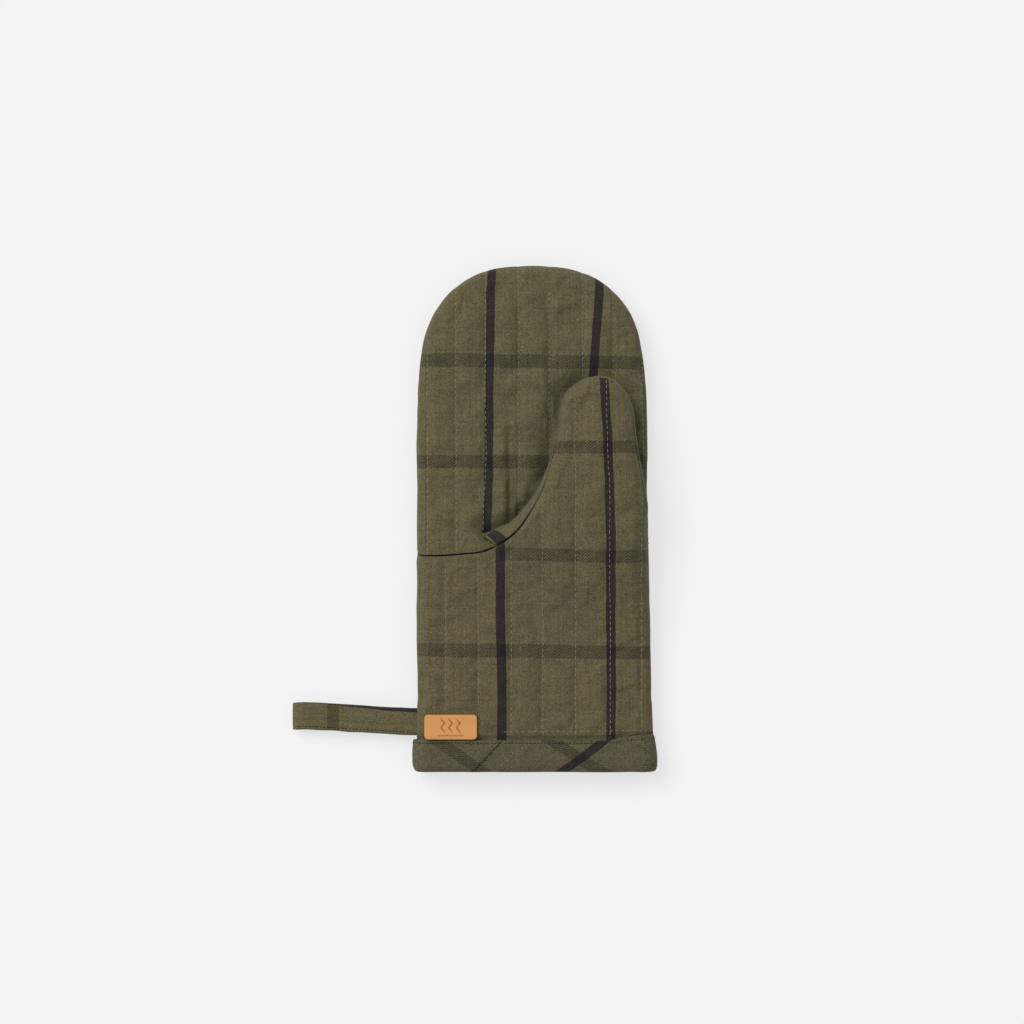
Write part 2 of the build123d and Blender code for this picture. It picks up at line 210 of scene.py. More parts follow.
def curve_through(points, step):
    """A smooth curve through some points, with its own points a step apart."""
    p = np.asarray(points, float)
    p = np.vstack([2 * p[0] - p[1], p, 2 * p[-1] - p[-2]])
    t = np.linspace(0, 1, 12, endpoint=False)[:, None]
    spans = [0.5 * (2 * b + (c - a) * t + (2 * a - 5 * b + 4 * c - d) * t ** 2 + (3 * b - a - 3 * c + d) * t ** 3)
             for a, b, c, d in zip(p, p[1:], p[2:], p[3:])]
    return along(np.vstack([*spans, p[-2:-1]]), step)


def nearest(points, line):
    """Each point's distance to a line, the nearest place on it in corners, and the way out to its right."""
    a, ab = line[:-1, :2], np.diff(line[:, :2], axis=0)
    best, where = np.full(len(points), 1e18), np.zeros(len(points))
    for k, (start, reach) in enumerate(zip(a, ab)):
        t = np.clip((points - start) @ reach / (reach @ reach), 0, 1)
        gap = ((points - start - t[:, None] * reach) ** 2).sum(1)
        closer = gap < best
        best[closer], where[closer] = gap[closer], k + t[closer]
    out = np.stack([ab[:, 1], -ab[:, 0]], 1) / np.linalg.norm(ab, axis=1)[:, None]
    return np.sqrt(best), where, out[np.minimum(where.astype(int), len(ab) - 1)]


def inside(points, loop):
    """Which points lie inside a closed line."""
    crossed = np.zeros(len(points), bool)
    for (x0, y0), (x1, y1) in zip(loop[:-1, :2], loop[1:, :2]):
        if y0 != y1:
            over = (y0 > points[:, 1]) != (y1 > points[:, 1])
            crossed ^= over & (points[:, 0] < (x1 - x0) * (points[:, 1] - y0) / (y1 - y0) + x0)
    return crossed


def between_heights(line, low, high):
    """The stretch of a line between two distances from the mouth."""
    whole = high > line[0, 1] - 0.5
    kept = line[(line[:, 1] > low + 0.4) & (whole | (line[:, 1] < high - 0.4))]
    ends = [np.array([[np.interp(y, line[::-1, 1], line[::-1, 0]), y]]) for y in (high, low)]
    return np.vstack([kept, ends[1]] if whole else [ends[0], kept, ends[1]])


def side_seam(side):
    """The side seam on one side, from the middle of the finger end to past the mouth."""
    turns = ((148.5, 7.7), (59.1, 72.1), (275.3, 10.2))
    points, heading = [np.array([0.0, LENGTH])], 0.0
    for radius, turn in turns:
        steps = math.ceil(radius * math.radians(turn) / 1.2)
        part = math.radians(turn) / steps
        for _ in range(steps):
            heading -= part
            chord = 2 * radius * math.sin(part / 2)
            way = heading + part / 2
            points.append(points[-1] + chord * np.array([math.cos(way), math.sin(way)]))
    bend = points[-1][1]
    flare = CUFF_RIGHT - HALF_WIDTH + 0.9 if side > 0 else 0.0
    for y in np.arange(bend - 1.5, -6, -1.5):
        points.append(np.array([HALF_WIDTH + flare * ((bend - y) / bend) ** 2, y]))
    line = np.array(points)
    ahead = np.gradient(line, axis=0)
    out = np.stack([-ahead[:, 1], ahead[:, 0]], 1) / np.linalg.norm(ahead, axis=1)[:, None]
    x, y = line.T
    rows = np.abs(side * x[:, None] - FINGER_ROWS).min(1)
    waver = 0.45 * wander(y, x * side, 26, 3 + side) + 0.2 * wander(y, x, 7, 9 + side)
    sunk = 0.32 * bump(rows, 2.0) * ease(y, 262, 290)
    if side < 0:
        # The palm seam's end draws the left side in
        waver += -0.55 * bump(y - 140.2, 1.5) + 0.5 * bump(y - 134, 5)
    line += out * (waver * ease(LENGTH - y, -1, 6) - sunk)[:, None]
    return line * (side, 1)


RIGHT, LEFT = side_seam(1), side_seam(-1)
BODY_EDGE = np.vstack([RIGHT[::-1], LEFT[1:]])

# The palm seam, and on to the thumb's tip and down its right edge
PALM_SEAM = [
    (-HALF_WIDTH + 0.2, SEAM_LEFT), (-64, 139.0), (-55, 139.3), (-42.9, 140.2), (-33, 141.2), (-25.7, 143.4),
    (-19.8, 146.9), (-13.4, 151.4), (-8.3, 156.9), (-3.8, 163.4), (0.2, 170.0), (4.3, 176.9), (7.5, 184.2),
    (10.0, 193.0), (14.1, 206.6), (16.8, 220.9), (19.0, 234.8), (23.2, 244.1), (32.2, 251.0),
    (42.5, 253.4), (50.3, 251.8), (57.3, 246.4), (61.7, 240.1), (64.3, 231.2), (65.2, 220.7),
    (67.3, 204.7), (69.3, 193.9), (72.0, 177.9), (73.5, 168), (74.1, 158), (74.9, 148)]
# The thumb's outer edge, from the crotch round the tip and down to the side: x, y, how far in it is
# rounded, and the height at the edge
THUMB_EDGE = [
    (-33.0, 152.3, 7, 15.4), (-25, 156, 8, 14.2), (-15.2, 159.8, 9, 13.0), (-9.6, 164.6, 9.5, 13.4),
    (-4.0, 171, 10, 15.2), (1.6, 178.6, 10, 17.8), (6.0, 187, 10, 20.5), (9.6, 195.6, 10, 22.2),
    (13.6, 207.5, 10, 23.6), (16.2, 221, 10, 24.4), (18.4, 235, 10, 24.5), (22.7, 244.6, 10, 24.5),
    (32, 251.6, 10, 24.5), (42.5, 254.0, 10, 24.5), (50.6, 252.4, 10, 24.5), (57.8, 246.8, 10, 24.5),
    (62.2, 240.4, 10, 24.5), (65.0, 231.4, 10, 24.5), (66.1, 220.8, 10, 24.5), (68.3, 204.8, 10, 24.2),
    (70.4, 194, 10.5, 23.8), (73.2, 178, 11, 21.8), (74.7, 168, 12, 18.5), (75.0, 158, 13, 12.5),
    (75.25, 149, 13, 8.7)]


# ---------------------------------------------------------------- pads of cloth

def flat_panel(runs, first, pitch, splits=9, rise=2.35):
    """Points and faces that fill a panel. Each run is a stretch of its edge, with the rings that follow it inside."""
    edge = np.vstack([points[:-1, :2] for points, rings in runs])
    loop = np.vstack([edge, edge[:1]])
    extra = []
    for points, rings in runs:
        points = points[:, :2]
        ahead = np.gradient(points, axis=0)
        inward = np.stack([-ahead[:, 1], ahead[:, 0]], 1) / np.linalg.norm(ahead, axis=1)[:, None]
        for ring in rings:
            moved = points + inward * ring
            extra.append(moved[(nearest(moved, loop)[0] > ring * 0.93) & inside(moved, loop)])
    step = pitch / splits
    before, after = math.ceil((first - edge[:, 0].min()) / step), math.ceil((edge[:, 0].max() - first) / step)
    xs = first + step * np.arange(-before, after + 1)
    ys = np.arange(edge[:, 1].min() + rise / 2, edge[:, 1].max(), rise)
    grid = np.stack(np.meshgrid(xs, ys), -1).reshape(-1, 2)
    grid = grid[inside(grid, loop)]
    for points, rings in runs:
        grid = grid[nearest(grid, points)[0] > (rings[-1] if rings else 0) + 0.45 * step]
    spots = np.vstack([*extra, grid]) if extra else grid
    _, kept = np.unique(np.round(spots / 0.45).astype(int), axis=0, return_index=True)
    points = np.vstack([edge, spots[np.sort(kept)]])
    corners = [Vector(p) for p in points]
    _, _, faces, origin, _, _ = geometry.delaunay_2d_cdt(corners, [], [list(range(len(edge)))], 1, 1e-7)
    first_of = [o[0] for o in origin]
    return points, [[first_of[i] for i in f] for f in faces], len(edge)


def rolled(points, top, edge, radius=None, rim=None):
    """Heights of a surface that rolls over an edge, and where each point lies on the flat cloth."""
    distance, where, out = nearest(points, edge)
    index = np.arange(len(edge))
    radius = np.interp(where, index, edge[:, 2]) if radius is None else radius
    rim = np.interp(where, index, edge[:, 3]) if rim is None else rim
    cosine = np.clip(1 - np.maximum(distance - 0.12, 0) / radius, 0, 1)
    height = top - (top - rim) * (1 - np.sqrt(1 - cosine ** 2))
    left = math.pi / 2 - np.arccos(cosine)
    turns = (np.arccos(cosine)[:, None] + left[:, None] * (np.arange(16) + 0.5) / 16).T
    arc = np.sqrt((radius * np.sin(turns)) ** 2 + (np.abs(top - rim) * np.cos(turns)) ** 2).mean(0) * left
    extra = arc - radius * cosine
    return height, points + out * extra[:, None], distance


def to_frame(points):
    return (np.asarray(points, float) + (0, MOUTH, 0)) * MM


def new_piece(name, points, faces, material_numbers=None):
    """A mesh object, in the frame, from points in millimetres."""
    mesh = bpy.data.meshes.new(name)
    mesh.from_pydata(to_frame(points).tolist(), [], [list(map(int, f)) for f in faces])
    mesh.update()
    if material_numbers is not None:
        mesh.polygons.foreach_set("material_index", np.asarray(material_numbers, np.int32))
    piece = bpy.data.objects.new(name, mesh)
    bpy.context.scene.collection.objects.link(piece)
    return piece


def set_values(piece, name, values, kind="FLOAT"):
    attribute = piece.data.attributes.new(name, kind, "POINT")
    attribute.data.foreach_set("value" if kind == "FLOAT" else "vector", np.asarray(values, np.float32).ravel())


def set_cloth(piece, place):
    """Stores each point's place on the flat cloth, in millimetres, for the weave and the plaid."""
    set_values(piece, "cloth", np.column_stack([place, np.zeros(len(place))]), "FLOAT_VECTOR")


def get_values(mesh, name, width=1):
    values = np.zeros(len(mesh.vertices) * width, np.float32)
    mesh.attributes[name].data.foreach_get("value" if width == 1 else "vector", values)
    return values.astype(float) if width == 1 else values.astype(float).reshape(-1, width)


def coordinates(mesh):
    values = np.zeros(len(mesh.vertices) * 3, np.float32)
    mesh.vertices.foreach_get("co", values)
    return values.astype(float).reshape(-1, 3)


def set_coordinates(mesh, values):
    mesh.vertices.foreach_set("co", values.astype(np.float32).ravel())


def normals(mesh):
    values = np.zeros(len(mesh.vertices) * 3, np.float32)
    mesh.vertex_normals.foreach_get("vector", values)
    return values.astype(float).reshape(-1, 3)


def apply_modifiers(piece):
    """Turns the piece with its modifiers into a plain mesh."""
    plain = bpy.data.meshes.new_from_object(piece.evaluated_get(bpy.context.evaluated_depsgraph_get()))
    piece.modifiers.clear()
    old, piece.data = piece.data, plain
    plain.name = piece.name
    bpy.data.meshes.remove(old)
    return piece


def opened(piece):
    editing = bmesh.new()
    editing.from_mesh(piece.data)
    return editing


def closed(editing, piece):
    editing.to_mesh(piece.data)
    editing.free()


def smooth(piece):
    piece.data.polygons.foreach_set("use_smooth", np.ones(len(piece.data.polygons), bool))
    piece.data.update()


def closed_pad(name, flat, faces, edge_count, heights, cloth, facing, depth):
    """A closed pad: the outer cloth, and the lining side a padding's depth inside it along its normals."""
    outer = np.column_stack([flat, heights])
    faces = np.array([f if facing > 0 else f[::-1] for f in faces if len(f) == 3])
    corner = outer[faces]
    area = np.cross(corner[:, 1] - corner[:, 0], corner[:, 2] - corner[:, 0])
    normal = np.zeros_like(outer)
    for k in range(3):
        np.add.at(normal, faces[:, k], area)
    normal /= np.linalg.norm(normal, axis=1)[:, None] + 1e-12
    inner = outer - depth * normal
    count = len(outer)
    ring = np.arange(edge_count)
    after = np.roll(ring, -1)
    wall = np.column_stack([ring, ring + count, after + count, after])
    if facing < 0:
        wall = wall[:, ::-1]
    every = [*faces.tolist(), *(faces[:, ::-1] + count).tolist(), *wall.tolist()]
    numbers = [0] * len(faces) + [1] * len(faces) + [0] * len(wall)
    piece = new_piece(name, np.vstack([outer, inner]), every, numbers)
    set_values(piece, "skin", np.concatenate([np.ones(count), np.zeros(count)]))
    set_values(piece, "flat", np.vstack([outer, outer]), "FLOAT_VECTOR")
    set_cloth(piece, np.vstack([cloth, cloth]))
    editing = opened(piece)
    bmesh.ops.join_triangles(editing, faces=[f for f in editing.faces if len(f.verts) == 3],
                             cmp_materials=True, angle_face_threshold=0.6, angle_shape_threshold=0.9)
    closed(editing, piece)
    return piece


def swell(piece, held, reach, pressure=4.0, slack=-0.05):
    """Blows the padding up between its sewn lines with a cloth simulation, and keeps every move within reach."""
    start = coordinates(piece.data)
    work = bpy.data.objects.new(piece.name + "_work", piece.data.copy())
    bpy.context.scene.collection.objects.link(work)
    group = work.vertex_groups.new(name="sewn")
    for weight in (1.0, 0.5):
        group.add([int(i) for i in np.flatnonzero(np.abs(held - weight) < 0.01)], weight, "REPLACE")
    cloth = work.modifiers.new("Swell", "CLOTH")
    cloth.settings.quality = 5
    cloth.settings.mass = 0.3
    cloth.settings.use_pressure = True
    cloth.settings.uniform_pressure_force = pressure
    cloth.settings.vertex_group_mass = "sewn"
    cloth.settings.shrink_min = slack
    cloth.settings.effector_weights.gravity = 0
    cloth.collision_settings.use_collision = False
    cloth.point_cache.frame_start, cloth.point_cache.frame_end = 1, 20
    for number in range(1, 21):
        bpy.context.scene.frame_set(number)
    shaped = work.evaluated_get(bpy.context.evaluated_depsgraph_get())
    move = (coordinates(shaped.to_mesh()) - start) / MM
    shaped.to_mesh_clear()
    bpy.data.objects.remove(work)
    bpy.context.scene.frame_set(1)
    length = np.linalg.norm(move, axis=1)
    move *= (reach * np.tanh(length / reach) / np.maximum(length, 1e-9))[:, None]
    set_coordinates(piece.data, start + move * MM)
    piece.data.update()


def refine(piece):
    """One subdivision, applied."""
    finer = piece.modifiers.new("Finer", "SUBSURF")
    finer.levels = finer.render_levels = 1
    apply_modifiers(piece)
    smooth(piece)


def sink(piece, depth):
    """Moves the outer cloth in along its normals by a depth for each point, in millimetres."""
    mesh = piece.data
    set_coordinates(mesh, coordinates(mesh) - normals(mesh) * (depth * get_values(mesh, "skin") * MM)[:, None])
    mesh.update()


def rows_sunk(x, y, rows, valley, strength=1.0):
    """How deep the quilting rows pull in, with a small pucker at each stitch."""
    pitch = bpy.context.scene.mitt_stitches.pitch / MM
    gap = x[:, None] - rows[None, :]
    near = np.abs(gap).min(1)
    number = np.abs(gap).argmin(1)
    pulse = 0.5 + 0.5 * np.cos(2 * math.pi * y / pitch + number)
    pucker = wander(x / 2.2, y, 4.2, 31) * bump(near, 5.0) * 0.22 + wander(x / 3, y, 9, 32) * bump(near, 8) * 0.25
    return strength * (valley * (0.62 * bump(near, 3.6) + (0.30 + 0.30 * pulse) * bump(near, 1.15)) + pucker)


def limp(x, y, seed):
    """The small unevenness of cloth that has been turned, pressed and handled."""
    return 0.38 * wander(x, y, 34, seed) + 0.16 * wander(x, y, 12, seed + 1) + 0.05 * wander(x, y, 4.5, seed + 2)


def both_sides(held, flat, rows):
    """Which corners of a closed pad are held while it swells: seams and rows outside, and the whole lining side."""
    on_row = (np.abs(flat[:, :1] - rows[None, :]).min(1) < 1.0).astype(float)
    return np.concatenate([np.maximum(held, on_row), np.ones(len(flat))])


def cuff_step(y, start=21.5):
    """1 where the pad is pressed flat under the binding, 0 above it."""
    return 1 - ease(y, start, start + 3.2)


def front_top(x, y):
    """The palm side's height before it rolls over its edges: flat, rising to the thumb."""
    start = np.interp(y, [70, 150, 175], [16, -38, -60])
    rise = ease(y, 72, 160) * ease(x, start, start + np.interp(y, [80, 160], [30, 36]))
    crown = 0.9 * bump(x - 42, 26) * ease(y, 150, 180)
    return PALM_TOP + (THUMB_TOP - 1.6 - PALM_TOP) * rise + crown - 1.3 * cuff_step(y)


def drawn(place):
    """Places on the flat cloth, pulled a little off the straight as quilting does."""
    x, y = place.T
    across = 0.7 * wander(y, x / 3, 52, 21) + 0.2 * wander(y, x, 17, 22)
    lengthways = 0.55 * wander(x, y / 3, 48, 23) + 0.2 * wander(x, y, 15, 24)
    return place + np.stack([across, lengthways], 1)


def thumb_edges():
    return curve_through(THUMB_EDGE, SEAM_STEP)


def front_edges():
    """Every edge that the lower palm and the thumb's front roll over, each with its rounding and height."""
    left = LEFT[LEFT[:, 1] < 139.6]
    right = RIGHT[RIGHT[:, 1] < 148.5][::-1]
    left = np.column_stack([left, np.full(len(left), 11.5), np.full(len(left), SEAM)])
    grow = np.interp(right[:, 1], [70, 148], [11.5, 13])
    right = np.column_stack([right, grow, np.full(len(right), SEAM)])
    return left, np.vstack([right, thumb_edges()[::-1]])


def front_heights(flat):
    """Heights and cloth places of the palm side, shared by the lower palm, the thumb and the strip round its edge."""
    left, right = front_edges()
    top = front_top(*flat.T)
    first, cloth_left, _ = rolled(flat, top, left)
    second, cloth_right, _ = rolled(flat, top, right)
    return np.minimum(first, second), drawn(cloth_left + cloth_right - flat)


def front_panel(seam):
    """The lower palm and the thumb's front laid flat, with the palm seam as their upper edge."""
    side_left = along(between_heights(LEFT, 2.0, SEAM_LEFT), EDGE_STEP)
    side_right = along(between_heights(RIGHT, 2.0, SEAM_RIGHT), EDGE_STEP)[::-1]
    mouth = along([side_left[-1], side_right[0]], 2.4)
    seam = seam.copy()
    seam[0], seam[-1] = side_left[0], side_right[-1]
    runs = [(side_right, SIDE_RINGS), (seam[::-1], SEAM_RINGS + (5.2, 7.4)), (side_left, SIDE_RINGS), (mouth, ())]
    return flat_panel(runs, LOWER_ROWS[0], LOWER_ROW_GAP)


def seam_sunk(away, y):
    """How deep the palm seam pulls in. It fades out as it climbs the thumb."""
    return (0.72 * bump(away, 0.34) + 0.3 * bump(away, 2.0)) * (1 - 0.9 * ease(y, 148, 186))


def tucked(points):
    """Places beside the lower right seam, moved in under it."""
    return points - (points[:, :1] > BESIDE_RIGHT) * (1 - ease(points[:, 1:], 158, 174)) * (1.3, 0)


def lining_kept_in(piece, outer, base):
    """Keeps the lining inside the thumb's edge where the folded cloth is thinner than its padding."""
    mesh = piece.data
    lined = np.zeros(len(mesh.vertices), bool)
    lined[[v for face in mesh.polygons if face.material_index == 1 for v in face.vertices]] = True
    spots = coordinates(mesh)
    x, y = flat = (spots[:, :2] / MM - (0, MOUTH)).T
    gap, where, _ = nearest(flat.T, outer)
    edge = np.stack([np.interp(where, np.arange(len(outer)), outer[:, k]) for k in (0, 1)], 1)
    stray = lined & ~inside(flat.T, np.vstack([outer[:, :2], base[::-1]])) & (y > 160) & (gap < 6)
    inward = np.array(THUMB_MIDDLE) - edge
    inward /= np.linalg.norm(inward, axis=1)[:, None]
    moved = to_frame(np.column_stack([edge + 0.8 * inward, np.zeros(len(gap))]))
    spots[stray, :2] = moved[stray, :2]
    right = lined & (x > BESIDE_RIGHT) & (y < 174)
    spots[right, 0] = np.minimum(spots[right, 0], (edge[right, 0] - 2.2) * MM)
    set_coordinates(mesh, spots)
    mesh.update()


def past_crotch(x, y):
    """How far a place lies past the line where the fold of the thumb's back begins."""
    return (x + 32.6) * 0.679 + (y - 152.7) * 0.734


def cuff_climb(x):
    return CUFF_RISE * ease(x, 44, 80)


def binding_edge(x):
    """The height of the binding's upper edge above the mouth. It rises towards the right."""
    return 21.3 + cuff_climb(x)


# ---------------------------------------------------------------- materials

class Value:
    """A value in a shader tree. Arithmetic on it adds maths nodes."""

    def __init__(self, tree, socket):
        self.tree, self.socket = tree, socket

    def __add__(self, other):
        return maths("ADD", self, other)

    def __sub__(self, other):
        return maths("SUBTRACT", self, other)

    def __mul__(self, other):
        return maths("MULTIPLY", self, other)

    def __truediv__(self, other):
        return maths("DIVIDE", self, other)


def add_node(tree, kind, inputs=None, **settings):
    """Adds a node, sets its properties, then links or sets its inputs."""
    node = tree.nodes.new(kind)
    for name, value in settings.items():
        setattr(node, name, value)
    for name, value in (inputs or {}).items():
        value = value.socket if isinstance(value, Value) else value
        if isinstance(value, bpy.types.NodeSocket):
            tree.links.new(value, node.inputs[name])
        else:
            node.inputs[name].default_value = value
    return node


def output(tree, kind, inputs=None, which=0, **settings):
    """One output of a new node."""
    return Value(tree, add_node(tree, kind, inputs, **settings).outputs[which])


def tree_of(*values):
    return next(value.tree for value in values if isinstance(value, Value))


def maths(operation, *values):
    return output(tree_of(*values), "ShaderNodeMath", dict(enumerate(values)), operation=operation)


def vectors(operation, a, b):
    return output(a.tree, "ShaderNodeVectorMath", {0: a, 1: b}, operation=operation)


def scaled(vector, factors):
    return vectors("MULTIPLY", vector, factors)


def parts(vector):
    split = add_node(vector.tree, "ShaderNodeSeparateXYZ", {0: vector})
    return [Value(vector.tree, socket) for socket in split.outputs]


def noise(vector, scale, detail=2.0):
    return output(vector.tree, "ShaderNodeTexNoise", {"Vector": vector, "Scale": scale, "Detail": detail}, "Fac")


def mix_colour(share, a, b, blend="MIX"):
    inputs = {0: share, 6: a, 7: b}
    return output(tree_of(share, a, b), "ShaderNodeMix", inputs, 2, data_type="RGBA", blend_type=blend)


def shaded(colour, tone):
    """A colour made darker or lighter by a tone."""
    grey = output(tone.tree, "ShaderNodeCombineColor", {0: tone, 1: tone, 2: tone})
    return mix_colour(1.0, colour, grey, "MULTIPLY")


def attribute(tree, name, which="Fac"):
    return output(tree, "ShaderNodeAttribute", None, which, attribute_name=name)


def open_group(name, inputs):
    """A shader node group and its inputs, each given as its name, kind and default."""
    tree = bpy.data.node_groups.new(name, "ShaderNodeTree")
    for label, kind, default in inputs:
        socket = tree.interface.new_socket(label, in_out="INPUT", socket_type="NodeSocket" + kind)
        if default is not None:
            socket.default_value = default
    given = tree.nodes.new("NodeGroupInput").outputs
    return tree, {label: Value(tree, given[label]) for label, _, _ in inputs}


def close_group(tree, results):
    """Gives a group its outputs, each as its name, kind and value."""
    for label, kind, _ in results:
        tree.interface.new_socket(label, in_out="OUTPUT", socket_type="NodeSocket" + kind)
    end = tree.nodes.new("NodeGroupOutput")
    for label, _, value in results:
        tree.links.new(value.socket, end.inputs[label])
    return tree


def stripe_group():
    """Marks a straight band of dark yarns that runs through a point of the flat cloth at an angle."""
    tree, given = open_group("Plaid Stripe", [
        ("Cloth", "Vector", None), ("Across", "Float", 0.0), ("Along", "Float", 0.0),
        ("Angle", "Float", 0.0), ("Width", "Float", 6.0), ("Start", "Float", FROM_ANYWHERE)])
    x, y, _ = parts(given["Cloth"])
    u, v = x - given["Across"], y - given["Along"]
    cosine, sine = maths("COSINE", given["Angle"]), maths("SINE", given["Angle"])
    within = maths("LESS_THAN", maths("ABSOLUTE", u * cosine - v * sine), given["Width"] * 0.5)
    begun = maths("GREATER_THAN", u * sine + v * cosine, given["Start"])
    return close_group(tree, [("Mask", "Float", within * begun)])


def twill_group():
    """A three and one twill of uneven yarns: which yarn lies on top at each place, its shade and its height."""
    tree, given = open_group("Twill Weave", [
        ("Cloth", "Vector", None), ("Yarn", "Float", 0.47), ("Turn", "Float", 0.0)])
    cloth = given["Cloth"]
    stray = output(tree, "ShaderNodeTexNoise",
                   {"Vector": scaled(cloth, (0.35, 0.09, 0)), "Scale": 1.0, "Detail": 1.5}, "Color")
    stray = scaled(vectors("SUBTRACT", stray, (0.5, 0.5, 0.5)), (1.5, 1.5, 0))
    turned = output(tree, "ShaderNodeVectorRotate", {"Vector": cloth, "Angle": given["Turn"]}, rotation_type="Z_AXIS")
    place = vectors("ADD", turned, stray)
    x, y, _ = parts(place)
    across, lengthways = x / given["Yarn"], y / given["Yarn"]
    warp_number, weft_number = maths("FLOOR", across), maths("FLOOR", lengthways)
    step = maths("FLOORED_MODULO", warp_number - weft_number, 4.0)
    weft_over = maths("LESS_THAN", step, 0.5)
    shades = []
    for number, other, seed in ((warp_number, lengthways, 3.0), (weft_number, across, 11.0)):
        own = output(tree, "ShaderNodeTexWhiteNoise", {"W": number + seed}, "Value", noise_dimensions="1D")
        slub = noise(output(tree, "ShaderNodeCombineXYZ", {0: number * 7.31, 1: other * 0.045, 2: seed}), 1.0)
        flecks = maths("MAXIMUM", slub - 0.66, 0.0) * 4.2
        shades.append(own * 0.22 + slub * 0.40 + (flecks + 0.66))
    offsets = [maths("ABSOLUTE", (maths("FRACT", yarn) - 0.5) * 2.0) for yarn in (across, lengthways)]
    rounds = [maths("SUBTRACT", 1.0, maths("POWER", offset, 2.4)) for offset in offsets]
    weft_shows = maths("MAXIMUM", weft_over, maths("GREATER_THAN", offsets[0], 0.84))
    height = maths("SUBTRACT", 1.0, weft_over) * rounds[0] + weft_over * (rounds[1] * 0.7)
    cell = output(tree, "ShaderNodeCombineXYZ", {0: warp_number, 1: weft_number})
    speck = output(tree, "ShaderNodeTexWhiteNoise", {"Vector": cell}, "Value", noise_dimensions="2D")
    return close_group(tree, [
        ("Weft Shows", "Float", weft_shows), ("Warp Shade", "Float", shades[0]), ("Weft Shade", "Float", shades[1]),
        ("Height", "Float", height), ("Place", "Vector", place), ("Speck", "Float", speck)])


def fade_group():
    """Slow changes of tone over a handled cloth: soft mottling, and streaks along both yarns."""
    tree, given = open_group("Cloth Fade", [("Cloth", "Vector", None), ("Strength", "Float", 1.0)])
    mottle = noise(given["Cloth"], 0.09, 3.0)
    streaks = noise(scaled(given["Cloth"], (0.75, 0.022, 0)), 1.0)
    ribs = noise(scaled(given["Cloth"], (0.03, 0.9, 0)), 1.0)
    total = (mottle - 0.5) * 0.34 + (streaks - 0.5) * 0.30 + (ribs - 0.5) * 0.24
    return close_group(tree, [("Tone", "Float", total * given["Strength"] + 1.0), ("Height", "Float", streaks)])


def grain_group():
    """Pores and fine creases of leather."""
    tree, given = open_group("Leather Grain", [("Place", "Vector", None), ("Size", "Float", 1500.0)])
    place = given["Place"]
    cells = output(tree, "ShaderNodeTexVoronoi", {"Vector": place, "Scale": given["Size"]}, "Distance", feature="F1")
    cloud = noise(place, 160.0, 4.0)
    fine = noise(place, 2600.0, 3.0)
    tone = (cloud - 0.5) * 0.22 + ((fine - 0.5) * 0.12 + 1.0)
    return close_group(tree, [("Tone", "Float", tone), ("Height", "Float", cells * 0.6 + fine * 0.4)])


def group_node(tree, name, build, inputs):
    """A shared group in a tree, as its outputs by name. The first use builds the group."""
    node = add_node(tree, "ShaderNodeGroup", inputs, node_tree=bpy.data.node_groups.get(name) or build())
    return {socket.name: Value(tree, socket) for socket in node.outputs}


def blank_material(name, **constants):
    """A material with only its surface, whose constant inputs are given with underscores for spaces."""
    material = bpy.data.materials.new(name)
    material.use_nodes = True
    surface = material.node_tree.nodes["Principled BSDF"]
    for label, value in constants.items():
        surface.inputs[label.replace("_", " ")].default_value = value
    return material, material.node_tree, surface


def dress(surface, colour, height, strength, distance):
    """Links a colour and a relief to a surface."""
    relief = add_node(colour.tree, "ShaderNodeBump", {"Strength": strength, "Distance": distance, "Height": height})
    colour.tree.links.new(colour.socket, surface.inputs["Base Color"])
    colour.tree.links.new(relief.outputs[0], surface.inputs["Normal"])


def plaid_material(name, warp_lines, weft_lines, tint=(1.0, 1.0, 1.0), turn=0.0):
    """The olive twill with its dark plaid, and on the binding some thin dark lines of painted shade. A line is a point
    on it, its angle from lengthways and its width.
    """
    colours = bpy.context.scene.mitt_colours
    material, tree, surface = blank_material(
        name, Roughness=0.92, Specular_IOR_Level=0.18, Sheen_Weight=0.12, Sheen_Roughness=0.45)
    cloth = attribute(tree, "cloth", "Vector")
    yarn = bpy.context.scene.mitt_cloth.yarn / MM
    weave = group_node(tree, "Twill Weave", twill_group, {"Cloth": cloth, "Yarn": yarn, "Turn": turn})
    fade = group_node(tree, "Cloth Fade", fade_group, {"Cloth": cloth, "Strength": 1.0})
    strayed = cloth
    if not turn:
        strayed = vectors("ADD", cloth, scaled(vectors("SUBTRACT", weave["Place"], cloth), (0.25, 0.25, 0)))
    masks = []
    for lines in (warp_lines, weft_lines):
        total = 0.0
        for across, lengthways, angle, width, *start in lines:
            stripe = group_node(tree, "Plaid Stripe", stripe_group, {
                "Cloth": strayed, "Across": across, "Along": lengthways, "Angle": math.radians(angle),
                "Width": width, "Start": start[0] if start else FROM_ANYWHERE})
            total = maths("MAXIMUM", total, stripe["Mask"])
        masks.append(total)
    dark = (*colours.dark, 1.0)
    olive, pale = [(*(c * t for c, t in zip(colour, tint)), 1.0) for colour in (colours.olive, colours.weft)]
    warp = shaded(mix_colour(masks[0], olive, dark), weave["Warp Shade"])
    weft = shaded(mix_colour(maths("MAXIMUM", masks[1], masks[0] * 0.78), pale, dark), weave["Weft Shade"])
    # The yarns' colour is darkened by their bump height: painted shade on their rounded sides and in the hollows
    # between them, with a random speck of tone on each crossing
    hollow = weave["Height"] * 0.66 + (weave["Speck"] * 0.62 + 0.22)
    yarns = shaded(mix_colour(weave["Weft Shows"], warp, weft), hollow * fade["Tone"])
    dress(surface, yarns, weave["Height"] + fade["Height"], 0.55, 0.00012)
    return material


def thread_material(name, colour, fleck):
    """Sewing thread, mottled over the object's own coordinates."""
    material, tree, surface = blank_material(name, Roughness=0.9, Specular_IOR_Level=0.2)
    mottle = noise(output(tree, "ShaderNodeTexCoord", None, "Object"), 3000.0)
    dress(surface, shaded((*colour, 1.0), (mottle - 0.5) * fleck + 1.0), mottle, 0.4, 0.0001)
    return material


